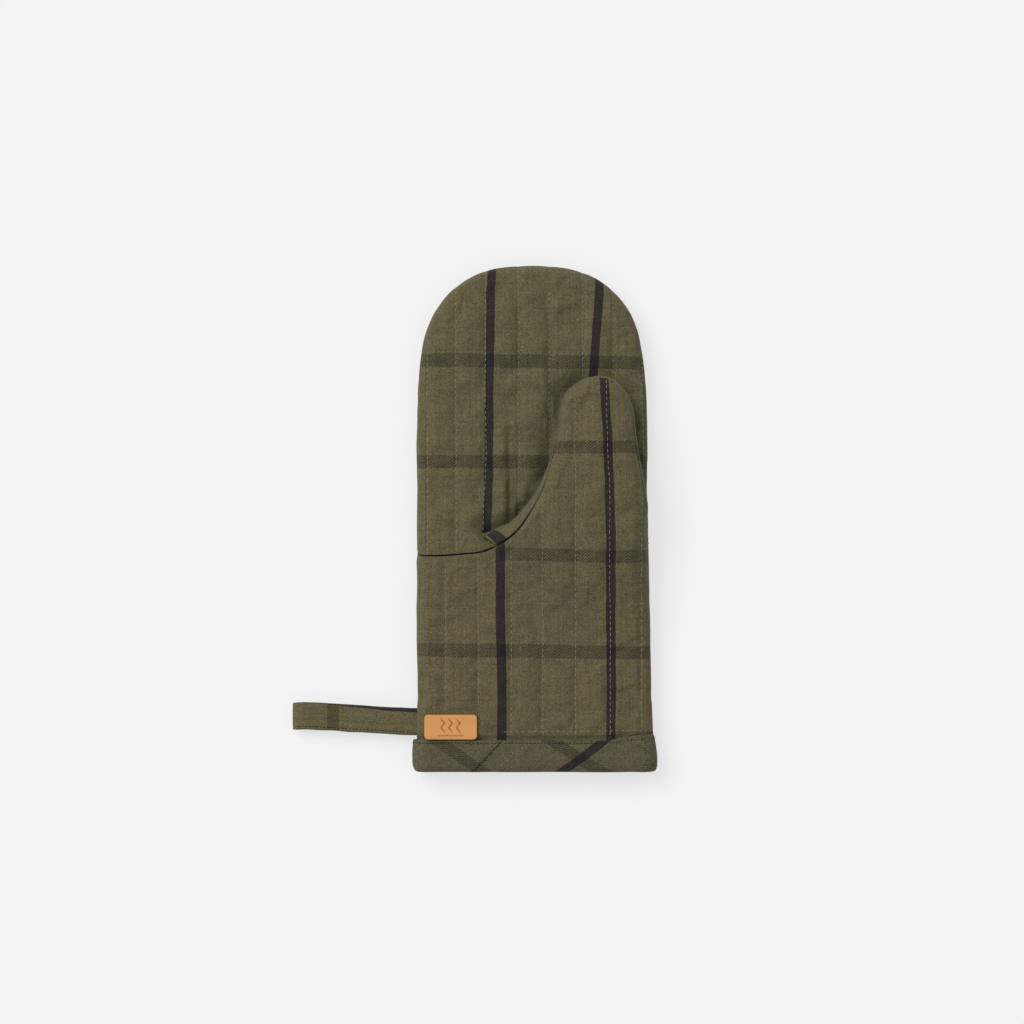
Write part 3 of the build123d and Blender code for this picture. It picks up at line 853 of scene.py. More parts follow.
def lining_material():
    """Plain woven cotton, seen inside the mouth. Every piece shares it."""
    if "Cotton Lining" in bpy.data.materials:
        return bpy.data.materials["Cotton Lining"]
    material, tree, surface = blank_material("Cotton Lining", Roughness=0.93, Specular_IOR_Level=0.2)
    cloth = attribute(tree, "cloth", "Vector")
    x, y, _ = parts(cloth)
    turns = 2 * math.pi / 0.6
    # The weave's sine makes the bump and also tints the colour: painted shade in the gaps and painted highlight on the
    # crowns of the yarns
    weave = maths("SINE", x * turns) * maths("SINE", y * turns)
    fade = group_node(tree, "Cloth Fade", fade_group, {"Cloth": cloth, "Strength": 0.8})
    colour = (*bpy.context.scene.mitt_colours.lining, 1.0)
    dress(surface, shaded(colour, (weave * 0.12 + 1.0) * fade["Tone"]), weave, 0.5, 0.0001)
    return material


def leather_material():
    """Vegetable-tanned leather, darker where the mark is pressed in and along the cut edge."""
    colours = bpy.context.scene.mitt_colours
    material, tree, surface = blank_material("Tan Leather", Specular_IOR_Level=0.35)
    place = output(tree, "ShaderNodeTexCoord", None, "Object")
    grain = group_node(tree, "Leather Grain", grain_group, {"Place": place, "Size": 1700.0})
    colour = shaded((*colours.leather, 1.0), grain["Tone"])
    colour = mix_colour(attribute(tree, "cut_edge") * 0.45, colour, (0.36, 0.15, 0.05, 1.0))
    colour = mix_colour(attribute(tree, "pressed"), colour, (*colours.leather_mark, 1.0))
    dress(surface, colour, grain["Height"], 0.35, 0.0001)
    tree.links.new((grain["Height"] * 0.15 + 0.45).socket, surface.inputs["Roughness"])
    return material


def lean(x0, y0, x1, y1):
    """A plaid line through two points: its middle, and its angle from lengthways in degrees."""
    return (x0 + x1) / 2, (y0 + y1) / 2, math.degrees(math.atan2(x1 - x0, y1 - y0))


def finish_cloth(piece, material):
    piece.data.materials.append(material)
    piece.data.materials.append(lining_material())
    made[piece.name] = piece


# ---------------------------------------------------------------- pads, one operator each

class MITT_OT_back(bpy.types.Operator):
    """Make the quilted back that the mitt lies on"""
    bl_idname = "mitt.add_back"
    bl_label = "Quilted Back"

    def execute(self, context):
        cloth = context.scene.mitt_cloth
        right = along(between_heights(RIGHT, 2.0, LENGTH - 0.01), EDGE_STEP)
        left = along(between_heights(LEFT, 2.0, LENGTH - 0.01), EDGE_STEP)
        edge = np.vstack([right[::-1], left[1:]])
        mouth = along([left[-1], right[-1]], 2.6)
        flat, faces, count = flat_panel([(edge, SIDE_RINGS), (mouth, ())], BACK_ROWS[0], ROW_GAP, 8, 2.7)
        base = 1.1 * cuff_step(flat[:, 1])
        heights, place, distance = rolled(flat, base, BODY_EDGE, cloth.edge_round / MM, SEAM - 0.04)
        place = drawn(place * (-1, 1))
        piece = closed_pad("back_cloth", flat, faces, count, heights, place, -1, cloth.padding / MM)
        held = both_sides((distance < 3.2) | (flat[:, 1] < 24), flat, BACK_ROWS)
        swell(piece, held, 0.9, 2.0, -0.03)
        refine(piece)
        spot = get_values(piece.data, "flat", 3)
        x, y = spot[:, 0], spot[:, 1]
        gap = nearest(spot[:, :2], BODY_EDGE)[0]
        inner = ease(gap, 3, 9) * ease(y, 23, 28)
        sink(piece, inner * rows_sunk(x, y, BACK_ROWS, cloth.valley / MM) + 0.55 * bump(gap, 0.7)
             + 0.5 * limp(x, y, 50) * ease(gap, 0.5, 5))
        co = coordinates(piece.data)
        co[:, 2] = np.maximum(co[:, 2], 0.0)
        set_coordinates(piece.data, co)
        lines = [(28, 0, 0.3, 6), (-41, 0, -0.4, 6)]
        bands = [(0, y, 90, 8.4) for y in (58, 124, 190, 256)]
        finish_cloth(piece, plaid_material("Plaid Twill Back", lines, bands))
        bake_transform(piece)
        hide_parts("back_outer", "back_wadding", "back_lining")
        return {"FINISHED"}


class MITT_OT_front(bpy.types.Operator):
    """Make the lower palm and the front of the thumb, which are cut as one piece"""
    bl_idname = "mitt.add_front"
    bl_label = "Lower Palm and Thumb Front"

    def execute(self, context):
        cloth = context.scene.mitt_cloth
        seam = curve_through(PALM_SEAM, SEAM_STEP)
        flat, faces, count = front_panel(seam)
        heights, place = front_heights(flat)
        left, right = front_edges()
        gap = np.minimum(nearest(flat, left)[0], nearest(flat, right)[0])
        piece = closed_pad("lower_palm_thumb_front", flat, faces, count, heights, place, 1, cloth.padding / MM)
        held = (gap < 2.6) | (nearest(flat, seam)[0] < 2.2) | (flat[:, 1] < 24)
        held = both_sides(held, flat, LOWER_ROWS)
        swell(piece, held, cloth.puff / MM)
        refine(piece)
        spot = get_values(piece.data, "flat", 3)
        x, y = spot[:, 0], spot[:, 1]
        rim = np.minimum(nearest(spot[:, :2], left)[0], nearest(spot[:, :2], right)[0])
        crease = nearest(spot[:, :2], seam)[0]
        inner = ease(rim, 2, 8) * ease(crease, 1.5, 6) * ease(y, 22, 27)
        depth = inner * rows_sunk(x, y, LOWER_ROWS, cloth.valley / MM, 0.85)
        depth += 0.5 * bump(rim, 0.8) * (y < 146) + seam_sunk(crease, y)
        depth += 1.0 * limp(x, y, 60) * ease(rim, 0.5, 4) * ease(y, 14, 30)
        depth += 0.8 * bump(y - binding_edge(x) - 0.9, 1.6) + 1.0 * bump(y - binding_edge(x), 0.9)
        sink(piece, depth)
        co = coordinates(piece.data)
        under_label = (x > LABEL_LOW.x / MM - 3) & (x < LABEL_HIGH.x / MM + 3) & (y < 41)
        under_label &= get_values(piece.data, "skin") > 0.5
        co[:, 2] = np.minimum(co[:, 2], np.where(under_label, (PALM_TOP - 0.15) * MM, 1.0))
        set_coordinates(piece.data, co)
        lines = [(*lean(-19.6, 20, -19.8, 146), 6.0), (*lean(50.6, 150, 46.4, 250), 5.9, -50),
                 (*lean(50.6, 151, 50.4, 20), 5.9, -65.5)]
        bands = [(0, 78.0, 90.8, 8.6), (0, 139.6, 90.5, 8.2, -20.5), (40, 208.4, 89.2, 8.2)]
        finish_cloth(piece, plaid_material("Plaid Twill Lower Palm", lines, bands, (1.0, 0.985, 1.0)))
        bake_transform(piece)
        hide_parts("lower_palm_outer", "lower_palm_wadding", "lower_palm_lining",
                    "thumb_front_outer", "thumb_front_wadding", "thumb_front_lining")
        return {"FINISHED"}


class MITT_OT_fingers(bpy.types.Operator):
    """Make the palm side of the fingers, from the palm seam to the finger end"""
    bl_idname = "mitt.add_finger_palm"
    bl_label = "Finger Palm"

    def execute(self, context):
        cloth = context.scene.mitt_cloth
        under_thumb = [(-27, 143.4), (-18, 145.6), (-4, 146.2), (30, 145), (60, 144)]
        seam = curve_through([p for p in PALM_SEAM if p[0] < -30] + under_thumb, SEAM_STEP)
        right = along(between_heights(RIGHT, 142.0, LENGTH - 0.01), EDGE_STEP)
        left = along(between_heights(LEFT, SEAM_LEFT, LENGTH - 0.01), EDGE_STEP)
        seam = along(np.vstack([left[-1:], seam[1:], right[-1:]]), SEAM_STEP)
        edge = np.vstack([right[::-1], left[1:]])
        flat, faces, count = flat_panel([(edge, SIDE_RINGS), (seam, SEAM_RINGS)], FINGER_ROWS[0], ROW_GAP)
        thumb = thumb_edges()
        top = np.full(len(flat), PALM_TOP)
        heights, place, distance = rolled(flat, top, BODY_EDGE, cloth.edge_round / MM, SEAM + 0.04)
        place = drawn(place)
        piece = closed_pad("finger_palm_cloth", flat, faces, count, heights, place, 1, cloth.padding / MM)
        held = (distance < 2.6) | (nearest(flat, seam)[0] < 2.2)
        held = both_sides(held, flat, FINGER_ROWS[:7])
        swell(piece, held, cloth.puff / MM)
        refine(piece)
        spot = get_values(piece.data, "flat", 3)
        x, y = spot[:, 0], spot[:, 1]
        rim = nearest(spot[:, :2], BODY_EDGE)[0]
        crease = nearest(spot[:, :2], seam)[0]
        beside = nearest(spot[:, :2], thumb)[0]
        under = inside(spot[:, :2], np.vstack([thumb, thumb[:1]]))
        inner = ease(rim, 2, 8) * ease(crease, 1.5, 6)
        depth = inner * rows_sunk(x, y, FINGER_ROWS[:7], cloth.valley / MM)
        depth += inner * 0.6 * rows_sunk(x, y, FINGER_ROWS[7:], cloth.valley / MM)
        depth += 0.5 * bump(rim, 0.8) + seam_sunk(crease, y)
        depth += 1.0 * limp(x, y, 70) * ease(rim, 0.5, 4)
        tuck = ease(y, 154, 166) * (1 - ease(y, 205, 246))
        depth += (tuck * (1.9 * bump(x + 14.6, 1.5) + 0.9 * bump(x + 11.5, 5))
                  - tuck * (0.8 * bump(x + 19.5, 4.5) + 0.5 * bump(x + 3, 5)))
        depth += 0.75 * bump(rim - 2.0, 0.42) * (x > 0) * ease(y, 172, 180) * (1 - ease(y, 256, 268))
        sink(piece, depth)
        # The palm hangs lower round the thumb, and lowest in the crotch.
        open_to = ease(past_crotch(x, y), -3.5, 2.5) * ease(rim, 1.5, 9) * ease(crease, 0.8, 4)
        left_of = ease(38 - x, -12, 12)
        hollow = np.where(under, 1.0, bump(beside, 7.5)) * (2.1 + 2.3 * left_of)
        hollow += (np.where(under, 1.0, bump(beside, 2.2)) * 1.5
                   * (1 - ease(x, -8, 6)) * ease(past_crotch(x, y), 0, 4))
        co = coordinates(piece.data)
        co[:, 2] -= open_to * hollow * MM
        set_coordinates(piece.data, co)
        lines = [(*lean(-28.5, 155, -25.6, 323), 5.6, -86.6), (*lean(39.4, 254.7, 43.8, 313), 5.6)]
        bands = [(0, 198.9, 90.2, 8.4), (0, 263.2, 90.8, 8.6)]
        finish_cloth(piece, plaid_material("Plaid Twill Finger Palm", lines, bands))
        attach(piece, "palm")
        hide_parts("finger_palm_outer", "finger_palm_wadding", "finger_palm_lining")
        return {"FINISHED"}


class MITT_OT_thumb_back(bpy.types.Operator):
    """Make the back of the thumb, which wraps round its edge and folds at the crotch"""
    bl_idname = "mitt.add_thumb_back"
    bl_label = "Thumb Back"

    def execute(self, context):
        outer = thumb_edges()
        seam = curve_through(PALM_SEAM, 0.5)
        sought = outer[:, :2] + (1 - ease(outer[:, :1], -33, -14)) * (7.0, -6.0)
        matched = seam[[int(np.argmin(np.hypot(*(seam - p).T))) for p in sought]]
        matched = np.stack([np.convolve(np.pad(column, 4, "edge"), np.ones(9) / 9, "valid") for column in matched.T], 1)
        shares = np.array([0, 0.03, 0.1, 0.2, 0.33, 0.48, 0.65, 0.83, 1.0])
        strip = outer[:, None, :2] * (1 - shares)[None, :, None] + matched[:, None, :] * shares[None, :, None]
        rows, columns = strip.shape[:2]
        strip = strip.reshape(-1, 2)
        heights, place = front_heights(strip)
        crease = nearest(strip, seam)[0]
        heights = heights - seam_sunk(crease, strip[:, 1]) - 1.5 * (1 - ease(past_crotch(*strip.T), -0.5, 2.5))
        strip = tucked(strip)
        index = np.arange(rows * columns).reshape(rows, columns)
        quads = np.stack([index[:-1, :-1], index[:-1, 1:], index[1:, 1:], index[1:, :-1]], -1).reshape(-1, 4)
        # Underside, from the same edge inwards
        base = along([outer[-1, :2], outer[0, :2]], 2.4)
        runs = [(outer[::-1], (0.3, 1.0, 2.1, 3.6, 5.5, 7.7, 9.8)), (base[::-1], ())]
        under, tris, _ = flat_panel(runs, 27.9, LOWER_ROW_GAP, 8, 2.6)
        rim = heights.reshape(rows, columns)[:, 0]
        where = nearest(under, outer)[1]
        low = np.minimum(THUMB_UNDER - 0.1, np.interp(where, np.arange(rows), rim))
        depth_under, place_under, _ = rolled(under, low, np.column_stack([outer[:, :3], rim]))
        under = tucked(under)
        points = np.vstack([np.column_stack([strip, heights]), np.column_stack([under, depth_under])])
        turned_over = [[i + len(strip) for i in f[::-1]] for f in tris]
        piece = new_piece("thumb_back_cloth", points, [*quads.tolist(), *turned_over])
        set_cloth(piece, np.vstack([place, place_under]))
        editing = opened(piece)
        bmesh.ops.remove_doubles(editing, verts=editing.verts, dist=0.02 * MM)
        bmesh.ops.recalc_face_normals(editing, faces=editing.faces)
        top = max(editing.faces, key=lambda f: f.calc_center_median().z)
        if top.normal.z < 0:
            bmesh.ops.reverse_faces(editing, faces=editing.faces)
        closed(editing, piece)
        wall = piece.modifiers.new("Padding", "SOLIDIFY")
        wall.thickness, wall.offset = 3.4 * MM, -1
        wall.material_offset = 1
        finer = piece.modifiers.new("Finer", "SUBSURF")
        finer.levels = finer.render_levels = 1
        lines, bands = [(*lean(-29.8, 158.4, -18.2, 147.6), 7.2)], [(40, 205, 90, 10)]
        plaid = plaid_material("Plaid Twill Thumb Back", lines, bands, turn=math.radians(-56))
        piece.data.materials.append(plaid)
        piece.data.materials.append(lining_material())
        apply_modifiers(piece)
        lining_kept_in(piece, outer, base)
        smooth(piece)
        made[piece.name] = piece
        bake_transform(piece)
        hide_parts("thumb_back_outer", "thumb_back_wadding", "thumb_back_lining")
        return {"FINISHED"}


# ---------------------------------------------------------------- binding, loop and label

def swept_sheet(name, rows, cloth, closed=False):
    """A sheet from rows of points, each row as long as the first."""
    rows = np.asarray(rows, float)
    m, n = rows.shape[:2]
    index = np.arange(m * n).reshape(m, n)
    if closed:
        index = np.column_stack([index, index[:, :1]])
    faces = np.stack([index[:-1, :-1], index[:-1, 1:], index[1:, 1:], index[1:, :-1]], -1).reshape(-1, 4)
    piece = new_piece(name, rows.reshape(-1, 3), faces.tolist())
    set_cloth(piece, np.asarray(cloth, float).reshape(-1, 2))
    return piece


def cuff_ring():
    """The outline of the cuff across the mitt: x, z and the way out, from the middle of the back round by the right."""
    low, high, left, right, reach = 1.25, 16.7, -75.5, 79.1, 10.5
    middle, half = (low + high) / 2, (high - low) / 2
    turn = np.linspace(0, math.pi, 27)[1:-1]
    side = np.stack([right - reach + reach * np.sin(turn), middle - half * np.cos(turn)], 1)
    other = np.stack([left + reach - reach * np.sin(turn), middle + half * np.cos(turn)], 1)
    run = np.linspace(left + reach, right - reach, 60)
    back = run[run >= 0]
    front = run[run < 0]
    points = np.vstack([np.column_stack([np.r_[0.0, back], np.full(len(back) + 1, low)]), side,
                        np.column_stack([run[::-1], np.full(len(run), high)]), other,
                        np.column_stack([np.r_[front, 0.0], np.full(len(front) + 1, low)])])
    points = points[np.r_[True, np.linalg.norm(np.diff(points, axis=0), axis=1) > 0.05]]
    ahead = np.gradient(points, axis=0)
    out = np.stack([ahead[:, 1], -ahead[:, 0]], 1) / np.linalg.norm(ahead, axis=1)[:, None]
    out[0] = out[-1] = (0, -1)
    run_length = np.concatenate([[0], np.cumsum(np.linalg.norm(np.diff(points, axis=0), axis=1))])
    top = np.flatnonzero(points[:, 1] > high - 0.01)
    at_zero = np.interp(0, points[top][::-1, 0], run_length[top][::-1])
    return points, out, at_zero - run_length


# The binding's section: how far it stands out from the ring, and its height above the mouth
BINDING_PROFILE = [
    (-0.25, 21.0), (0.25, 21.1), (0.62, 20.6), (0.80, 20.0), (0.72, 19.4), (0.55, 19.0), (0.74, 18.5),
    (1.0, 17.4), (1.22, 15.6), (1.36, 13.4), (1.42, 11.0), (1.40, 8.6), (1.30, 6.4), (1.05, 4.6),
    (0.70, 3.2), (0.20, 2.05), (-0.5, 1.15), (-1.4, 0.55), (-2.5, 0.35), (-3.5, 0.6), (-4.4, 1.3),
    (-5.0, 2.4), (-5.3, 4.0), (-5.4, 6.5), (-5.4, 10), (-5.4, 14), (-5.35, 18), (-5.0, 18.4)]


class MITT_OT_binding(bpy.types.Operator):
    """Make the bias binding round the mouth"""
    bl_idname = "mitt.add_binding"
    bl_label = "Cuff Binding"

    def execute(self, context):
        trim = context.scene.mitt_trim
        ring, out, place = cuff_ring()
        width = trim.binding_width / MM
        profile = along(BINDING_PROFILE, 0.62)
        run = np.concatenate([[0], np.cumsum(np.linalg.norm(np.diff(profile, axis=0), axis=1))])
        rows, cloth = [], []
        x, z = ring.T
        palm = ease(z, 4, 12)
        for (proud, y), length in zip(profile, run):
            rise = np.clip((y - 4) / (width - 4), 0, 1) * (proud > -3)
            lift = rise * (cuff_climb(x) * palm + 0.3 * wander(place, 0, 22, 81) + 0.12 * wander(place, 0, 6, 82))
            waver = (0.28 * wander(place, y, 13, 83) + 0.14 * wander(place, y, 5, 84)) * (proud > -3)
            stitch = 0.16 * bump(y + 2 - width, 0.9) * np.cos(2 * math.pi * place / 2.3) * (proud > -3)
            seam = 0.0
            if proud > -2:
                slant = np.abs((place + 20) - (y - 19) * 0.92)
                seam = palm * (0.75 * bump(slant, 0.55) - 0.18 * bump(slant - 1.6, 1.2))
            grow = proud * np.where(proud > 0, 0.6 + 0.4 * palm, 1.0) + waver * (0.45 + 0.55 * palm) - stitch - seam
            widen = 1 + (0.012 * (10 - y) / 10) * (x > 0)
            height = y + lift + 0.15 * wander(place, 3, 9, 85)
            rows.append(np.stack([x * widen + out[:, 0] * grow, height, z + out[:, 1] * grow], 1))
            cloth.append(np.stack([place, 21.0 - np.full_like(place, length)], 1))
        piece = swept_sheet("cuff_binding_cloth", rows, cloth)
        wall = piece.modifiers.new("Thickness", "SOLIDIFY")
        wall.thickness, wall.offset = trim.binding_thickness, -1
        editing = opened(piece)
        on_palm = Vector((0, (MOUTH + 12) * MM, 18 * MM))
        sample = min(editing.faces, key=lambda f: (f.calc_center_median() - on_palm).length)
        if sample.normal.z < 0:
            bmesh.ops.reverse_faces(editing, faces=editing.faces)
        closed(editing, piece)
        apply_modifiers(piece)
        smooth(piece)
        # The thin 0.6 mm dark line along the slanting join, from (-20.2, 19) to (-36.5, 1.4), is painted shade in the
        # join's groove, not a stripe of the plaid
        lines = [(*lean(49, 21.7, 20, 0.5), 5.4), (*lean(-97, 21.7, -126, 0.5), 5.4),
                 (*lean(-20.2, 19, -36.5, 1.4), 0.6)]
        # The last band, 0.7 mm wide along the binding's upper edge, is painted shade in the crease where the binding
        # meets the palm, not a stripe of the plaid
        bands = [(*lean(-57, 17.6, -36, 2.7), 7.6), (*lean(15, 18.7, 41, 2.0), 7.6),
                 (*lean(107, 18.7, 133, 2.0), 7.6), (0, 20.75, 90, 0.7)]
        bias = plaid_material("Bias Binding Twill", lines, bands, (0.86, 0.87, 0.95), math.radians(52))
        piece.data.materials.append(bias)
        made[piece.name] = piece
        co = coordinates(piece.data)
        co[:, 2] = np.maximum(co[:, 2], 0.0)
        set_coordinates(piece.data, co)
        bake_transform(piece)
        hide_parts("cuff_binding_palm", "cuff_binding_back")
        return {"FINISHED"}


def loop_path():
    """The middle of the loop's strap, seen from the side, from its root out along the top leg and back below."""
    end = LOOP_LOW.x / MM - 1.3
    top = [(-72.6, 9.6), (-77, 9.45), (-84, 9.0), (-98, 8.2), (-112, 7.7), (-126, 7.7), (-140, 8.0), (-146.5, 7.9)]
    turn = [(end + 2.5, 7.0), (end + 0.75, 4.7), (end + 2.3, 2.2)]
    under = [(-146.5, 1.25), (-140, 1.05), (-120, 1.1), (-100, 2.2), (-88, 4.6), (-80, 6.6), (-76, 7.6), (-72.6, 8.0)]
    return curve_through(top + turn + under, 1.5)


class MITT_OT_loop(bpy.types.Operator):
    """Make the hanging loop of folded strap"""
    bl_idname = "mitt.add_loop"
    bl_label = "Hanging Loop"

    def execute(self, context):
        t = context.scene.mitt_trim.strap_thickness / MM
        half = (LOOP_HIGH.y - LOOP_LOW.y) / MM / 2
        middle = (LOOP_HIGH.y + LOOP_LOW.y) / MM / 2 - MOUTH
        path = loop_path()
        ahead = np.gradient(path, axis=0)
        ahead /= np.linalg.norm(ahead, axis=1)[:, None]
        out = np.stack([ahead[:, 1], -ahead[:, 0]], 1)
        run = np.concatenate([[0], np.cumsum(np.linalg.norm(np.diff(path, axis=0), axis=1))])
        across = np.linspace(-half + t / 2, half - t / 2, 19)
        turn = np.linspace(0, math.pi, 7)[1:-1]
        section = np.vstack([np.column_stack([across, np.full(len(across), t / 2)]),
                             np.column_stack([half - t / 2 + t / 2 * np.sin(turn), t / 2 * np.cos(turn)]),
                             np.column_stack([across[::-1], np.full(len(across), -t / 2)]),
                             np.column_stack([-half + t / 2 - t / 2 * np.sin(turn), -t / 2 * np.cos(turn)])])
        around = np.concatenate([[0], np.cumsum(np.linalg.norm(np.diff(section, axis=0), axis=1))]) - half
        rows, cloth = [], []
        for (x, z), (nx, nz), length in zip(path, out, run):
            tilt = 3.4 * ease(-x, 74, 150) - 0.3
            puffed = section[:, 1] * (1 + 0.12 * np.cos(section[:, 0] / half * 1.4))
            puffed -= 0.22 * bump(section[:, 0] + half - 1.9, 0.8) * (section[:, 1] > 0)
            bend = 0.35 * wander(length, 0, 14, 90)
            edge = 0.25 * wander(length, section[:, 0], 9, 91)
            side = middle + tilt + section[:, 0] + edge + 0.3 * bend
            rows.append(np.stack([x + nx * puffed, side, z + nz * puffed], 1))
            cloth.append(np.stack([around, np.full(len(section), -72.6 - length)], 1))
        piece = swept_sheet("hanging_loop_strap", rows, cloth, closed=True)
        editing = opened(piece)
        ends = [e for e in editing.edges if len(e.link_faces) == 1]
        bmesh.ops.holes_fill(editing, edges=ends)
        bmesh.ops.recalc_face_normals(editing, faces=editing.faces)
        closed(editing, piece)
        smooth(piece)
        lines = [(8.65 + 2.0, -134, math.degrees(math.atan2(-2.5, 58)), 6.0)]
        bands = [(0, -127.8, 90, 7.6), (0, -215, 90, 8)]
        piece.data.materials.append(plaid_material("Loop Twill", lines, bands, (1.04, 1.05, 1.04)))
        made[piece.name] = piece
        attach(piece, "loop")
        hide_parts("hanging_loop")
        return {"FINISHED"}


def rounded_outline(width, height, corner, step):
    """A rectangle with round corners, counted round by the left, centred on zero."""
    points = []
    for cx, cy, start in ((1, -1, -90), (1, 1, 0), (-1, 1, 90), (-1, -1, 180)):
        for a in np.radians(np.linspace(start, start + 90, 7)):
            points.append((cx * (width / 2 - corner) + corner * math.cos(a),
                           cy * (height / 2 - corner) + corner * math.sin(a)))
    return along(points + points[:1], step)


class MITT_OT_label(bpy.types.Operator):
    """Make the leather label with its pressed mark of three wisps of steam"""
    bl_idname = "mitt.add_label"
    bl_label = "Leather Label"

    def execute(self, context):
        trim = context.scene.mitt_trim
        low, high = np.array(LABEL_LOW) / MM, np.array(LABEL_HIGH) / MM
        size, centre = high - low, (high + low) / 2
        edge = rounded_outline(size[0], size[1], trim.label_corner / MM, 0.45)
        flat, faces, count = flat_panel([(edge, (0.12, 0.3, 0.55))], 0.0, 3.2, 10, 0.32)
        x, y = flat.T
        rim = nearest(flat, edge)[0]
        pressed = np.zeros(len(flat))
        up = y - 0.9
        for shift in (-5.0, 0.0, 5.0):
            wave = np.abs(x - shift - 0.95 * np.sin(up * 1.15))
            width = 0.62 * (1 - 0.6 * ease(np.abs(up), 2.4, 4.9))
            pressed = np.maximum(pressed, (1 - ease(wave, width * 0.6, width * 1.1)) * (np.abs(up) < 4.9))
        bar = np.maximum(np.abs(x) - 8.2, np.abs(y + 5.6) - 0.30)
        pressed = np.maximum(pressed, 1 - ease(bar, -0.08, 0.12))
        bow = 0.28 * (x / size[0] * 2) ** 2 * 0.6 + 0.25 * ease(y, 0, 8) + 0.05 * wander(x, y, 7, 95)
        rounding = 0.42 * (1 - np.sqrt(1 - np.clip(1 - rim / 0.5, 0, 1) ** 2))
        top = size[2] - rounding - trim.mark_depth / MM * pressed + bow - 0.15
        under = bow - 0.15
        place = flat + centre[:2] - (0, MOUTH)
        points = np.vstack([np.column_stack([place, top + low[2]]), np.column_stack([place, under + low[2]])])
        n = len(flat)
        ring = np.arange(count)
        after = np.roll(ring, -1)
        wall = np.column_stack([ring, ring + n, after + n, after]).tolist()
        piece = new_piece("leather_label_tag", points, [*faces, *[[i + n for i in f[::-1]] for f in faces], *wall])
        set_values(piece, "pressed", np.concatenate([pressed, np.zeros(n)]))
        set_values(piece, "cut_edge", np.concatenate([bump(rim, 0.35), np.ones(n)]))
        smooth(piece)
        piece.data.materials.append(leather_material())
        made[piece.name] = piece
        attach(piece, "label")
        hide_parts("leather_label")
        return {"FINISHED"}


# ---------------------------------------------------------------- stitches

def stitch_tree():
    """Lays short lengths of thread end to end along a path."""
    tree = bpy.data.node_groups.new("Stitch Row", "GeometryNodeTree")
    for label, kind, default in (("Path", "Geometry", None), ("Pitch", "Float", 0.0037), ("Length", "Float", 0.0026),
                                 ("Thread", "Float", 0.0005), ("Seed", "Int", 7), ("Finish", "Material", None)):
        socket = tree.interface.new_socket(label, in_out="INPUT", socket_type="NodeSocket" + kind)
        if default is not None:
            socket.default_value = default
    tree.interface.new_socket("Stitches", in_out="OUTPUT", socket_type="NodeSocketGeometry")
    given, result = tree.nodes.new("NodeGroupInput").outputs, tree.nodes.new("NodeGroupOutput").inputs

    def step(kind, inputs, **settings):
        return add_node(tree, kind, inputs, **settings).outputs

    points = step("GeometryNodeCurveToPoints", {"Curve": given["Path"], "Length": given["Pitch"]}, mode="LENGTH")
    bead = step("GeometryNodeMeshIcoSphere", {"Radius": 0.5, "Subdivisions": 2})["Mesh"]
    size = step("ShaderNodeCombineXYZ", {0: given["Length"], 1: given["Thread"], 2: given["Thread"]})[0]
    bead = step("GeometryNodeTransform", {"Geometry": bead, "Scale": size})[0]
    bead = step("GeometryNodeSetShadeSmooth", {"Geometry": bead})[0]
    turn = step("FunctionNodeAlignRotationToVector", {"Vector": points["Tangent"]}, axis="X")[0]
    vary = step("FunctionNodeRandomValue", {"Min": (0.86, 0.9, 0.9), "Max": (1.08, 1.1, 1.1), "Seed": given["Seed"]},
                data_type="FLOAT_VECTOR")[0]
    laid = step("GeometryNodeInstanceOnPoints", {"Points": points["Points"], "Instance": bead,
                                                 "Rotation": turn, "Scale": vary})[0]
    real = step("GeometryNodeRealizeInstances", {"Geometry": laid})[0]
    done = step("GeometryNodeSetMaterial", {"Geometry": real, "Material": given["Finish"]})[0]
    tree.links.new(done, result["Stitches"])
    return tree


def surface_of(piece):
    """A finished piece as a surface that a path can be dropped on."""
    mesh = piece.data
    return BVHTree.FromPolygons([v.co for v in mesh.vertices], [p.vertices for p in mesh.polygons])


def dropped(tree, line, side=1, lift=0.0):
    """A line in the plane dropped on a surface from above, or from below with side -1."""
    points = []
    for x, y in line:
        hit = tree.ray_cast(Vector((x * MM, (MOUTH + y) * MM, side * 0.2)), Vector((0, 0, -side)))
        if hit[0] is not None:
            points.append(hit[0] + Vector((0, 0, side * lift * MM)))
    return points


def sew(name, paths, pitch, length, thread, finish):
    """Stitches along some paths, as one plain mesh."""
    line = bpy.data.curves.new(name, "CURVE")
    line.dimensions = "3D"
    for path in paths:
        if len(path) > 3:
            spline = line.splines.new("POLY")
            spline.points.add(len(path) - 1)
            corners = np.column_stack([np.array(path), np.ones(len(path))])
            spline.points.foreach_set("co", corners.astype(np.float32).ravel())
    row = bpy.data.objects.new(name, line)
    bpy.context.scene.collection.objects.link(row)
    tree = bpy.data.node_groups.get("Stitch Row") or stitch_tree()
    modifier = row.modifiers.new("Stitches", "NODES")
    modifier.node_group = tree
    keys = {item.name: item.identifier for item in tree.interface.items_tree if item.in_out == "INPUT"}
    seed = bpy.context.scene.mitt_stitches.seed
    for label, value in (("Pitch", pitch), ("Length", length), ("Thread", thread), ("Seed", seed), ("Finish", finish)):
        modifier[keys[label]] = value
    plain = bpy.data.meshes.new_from_object(row.evaluated_get(bpy.context.evaluated_depsgraph_get()))
    bpy.data.objects.remove(row)
    plain.name = name
    piece = bpy.data.objects.new(name, plain)
    bpy.context.scene.collection.objects.link(piece)
    made[name] = piece
    return piece


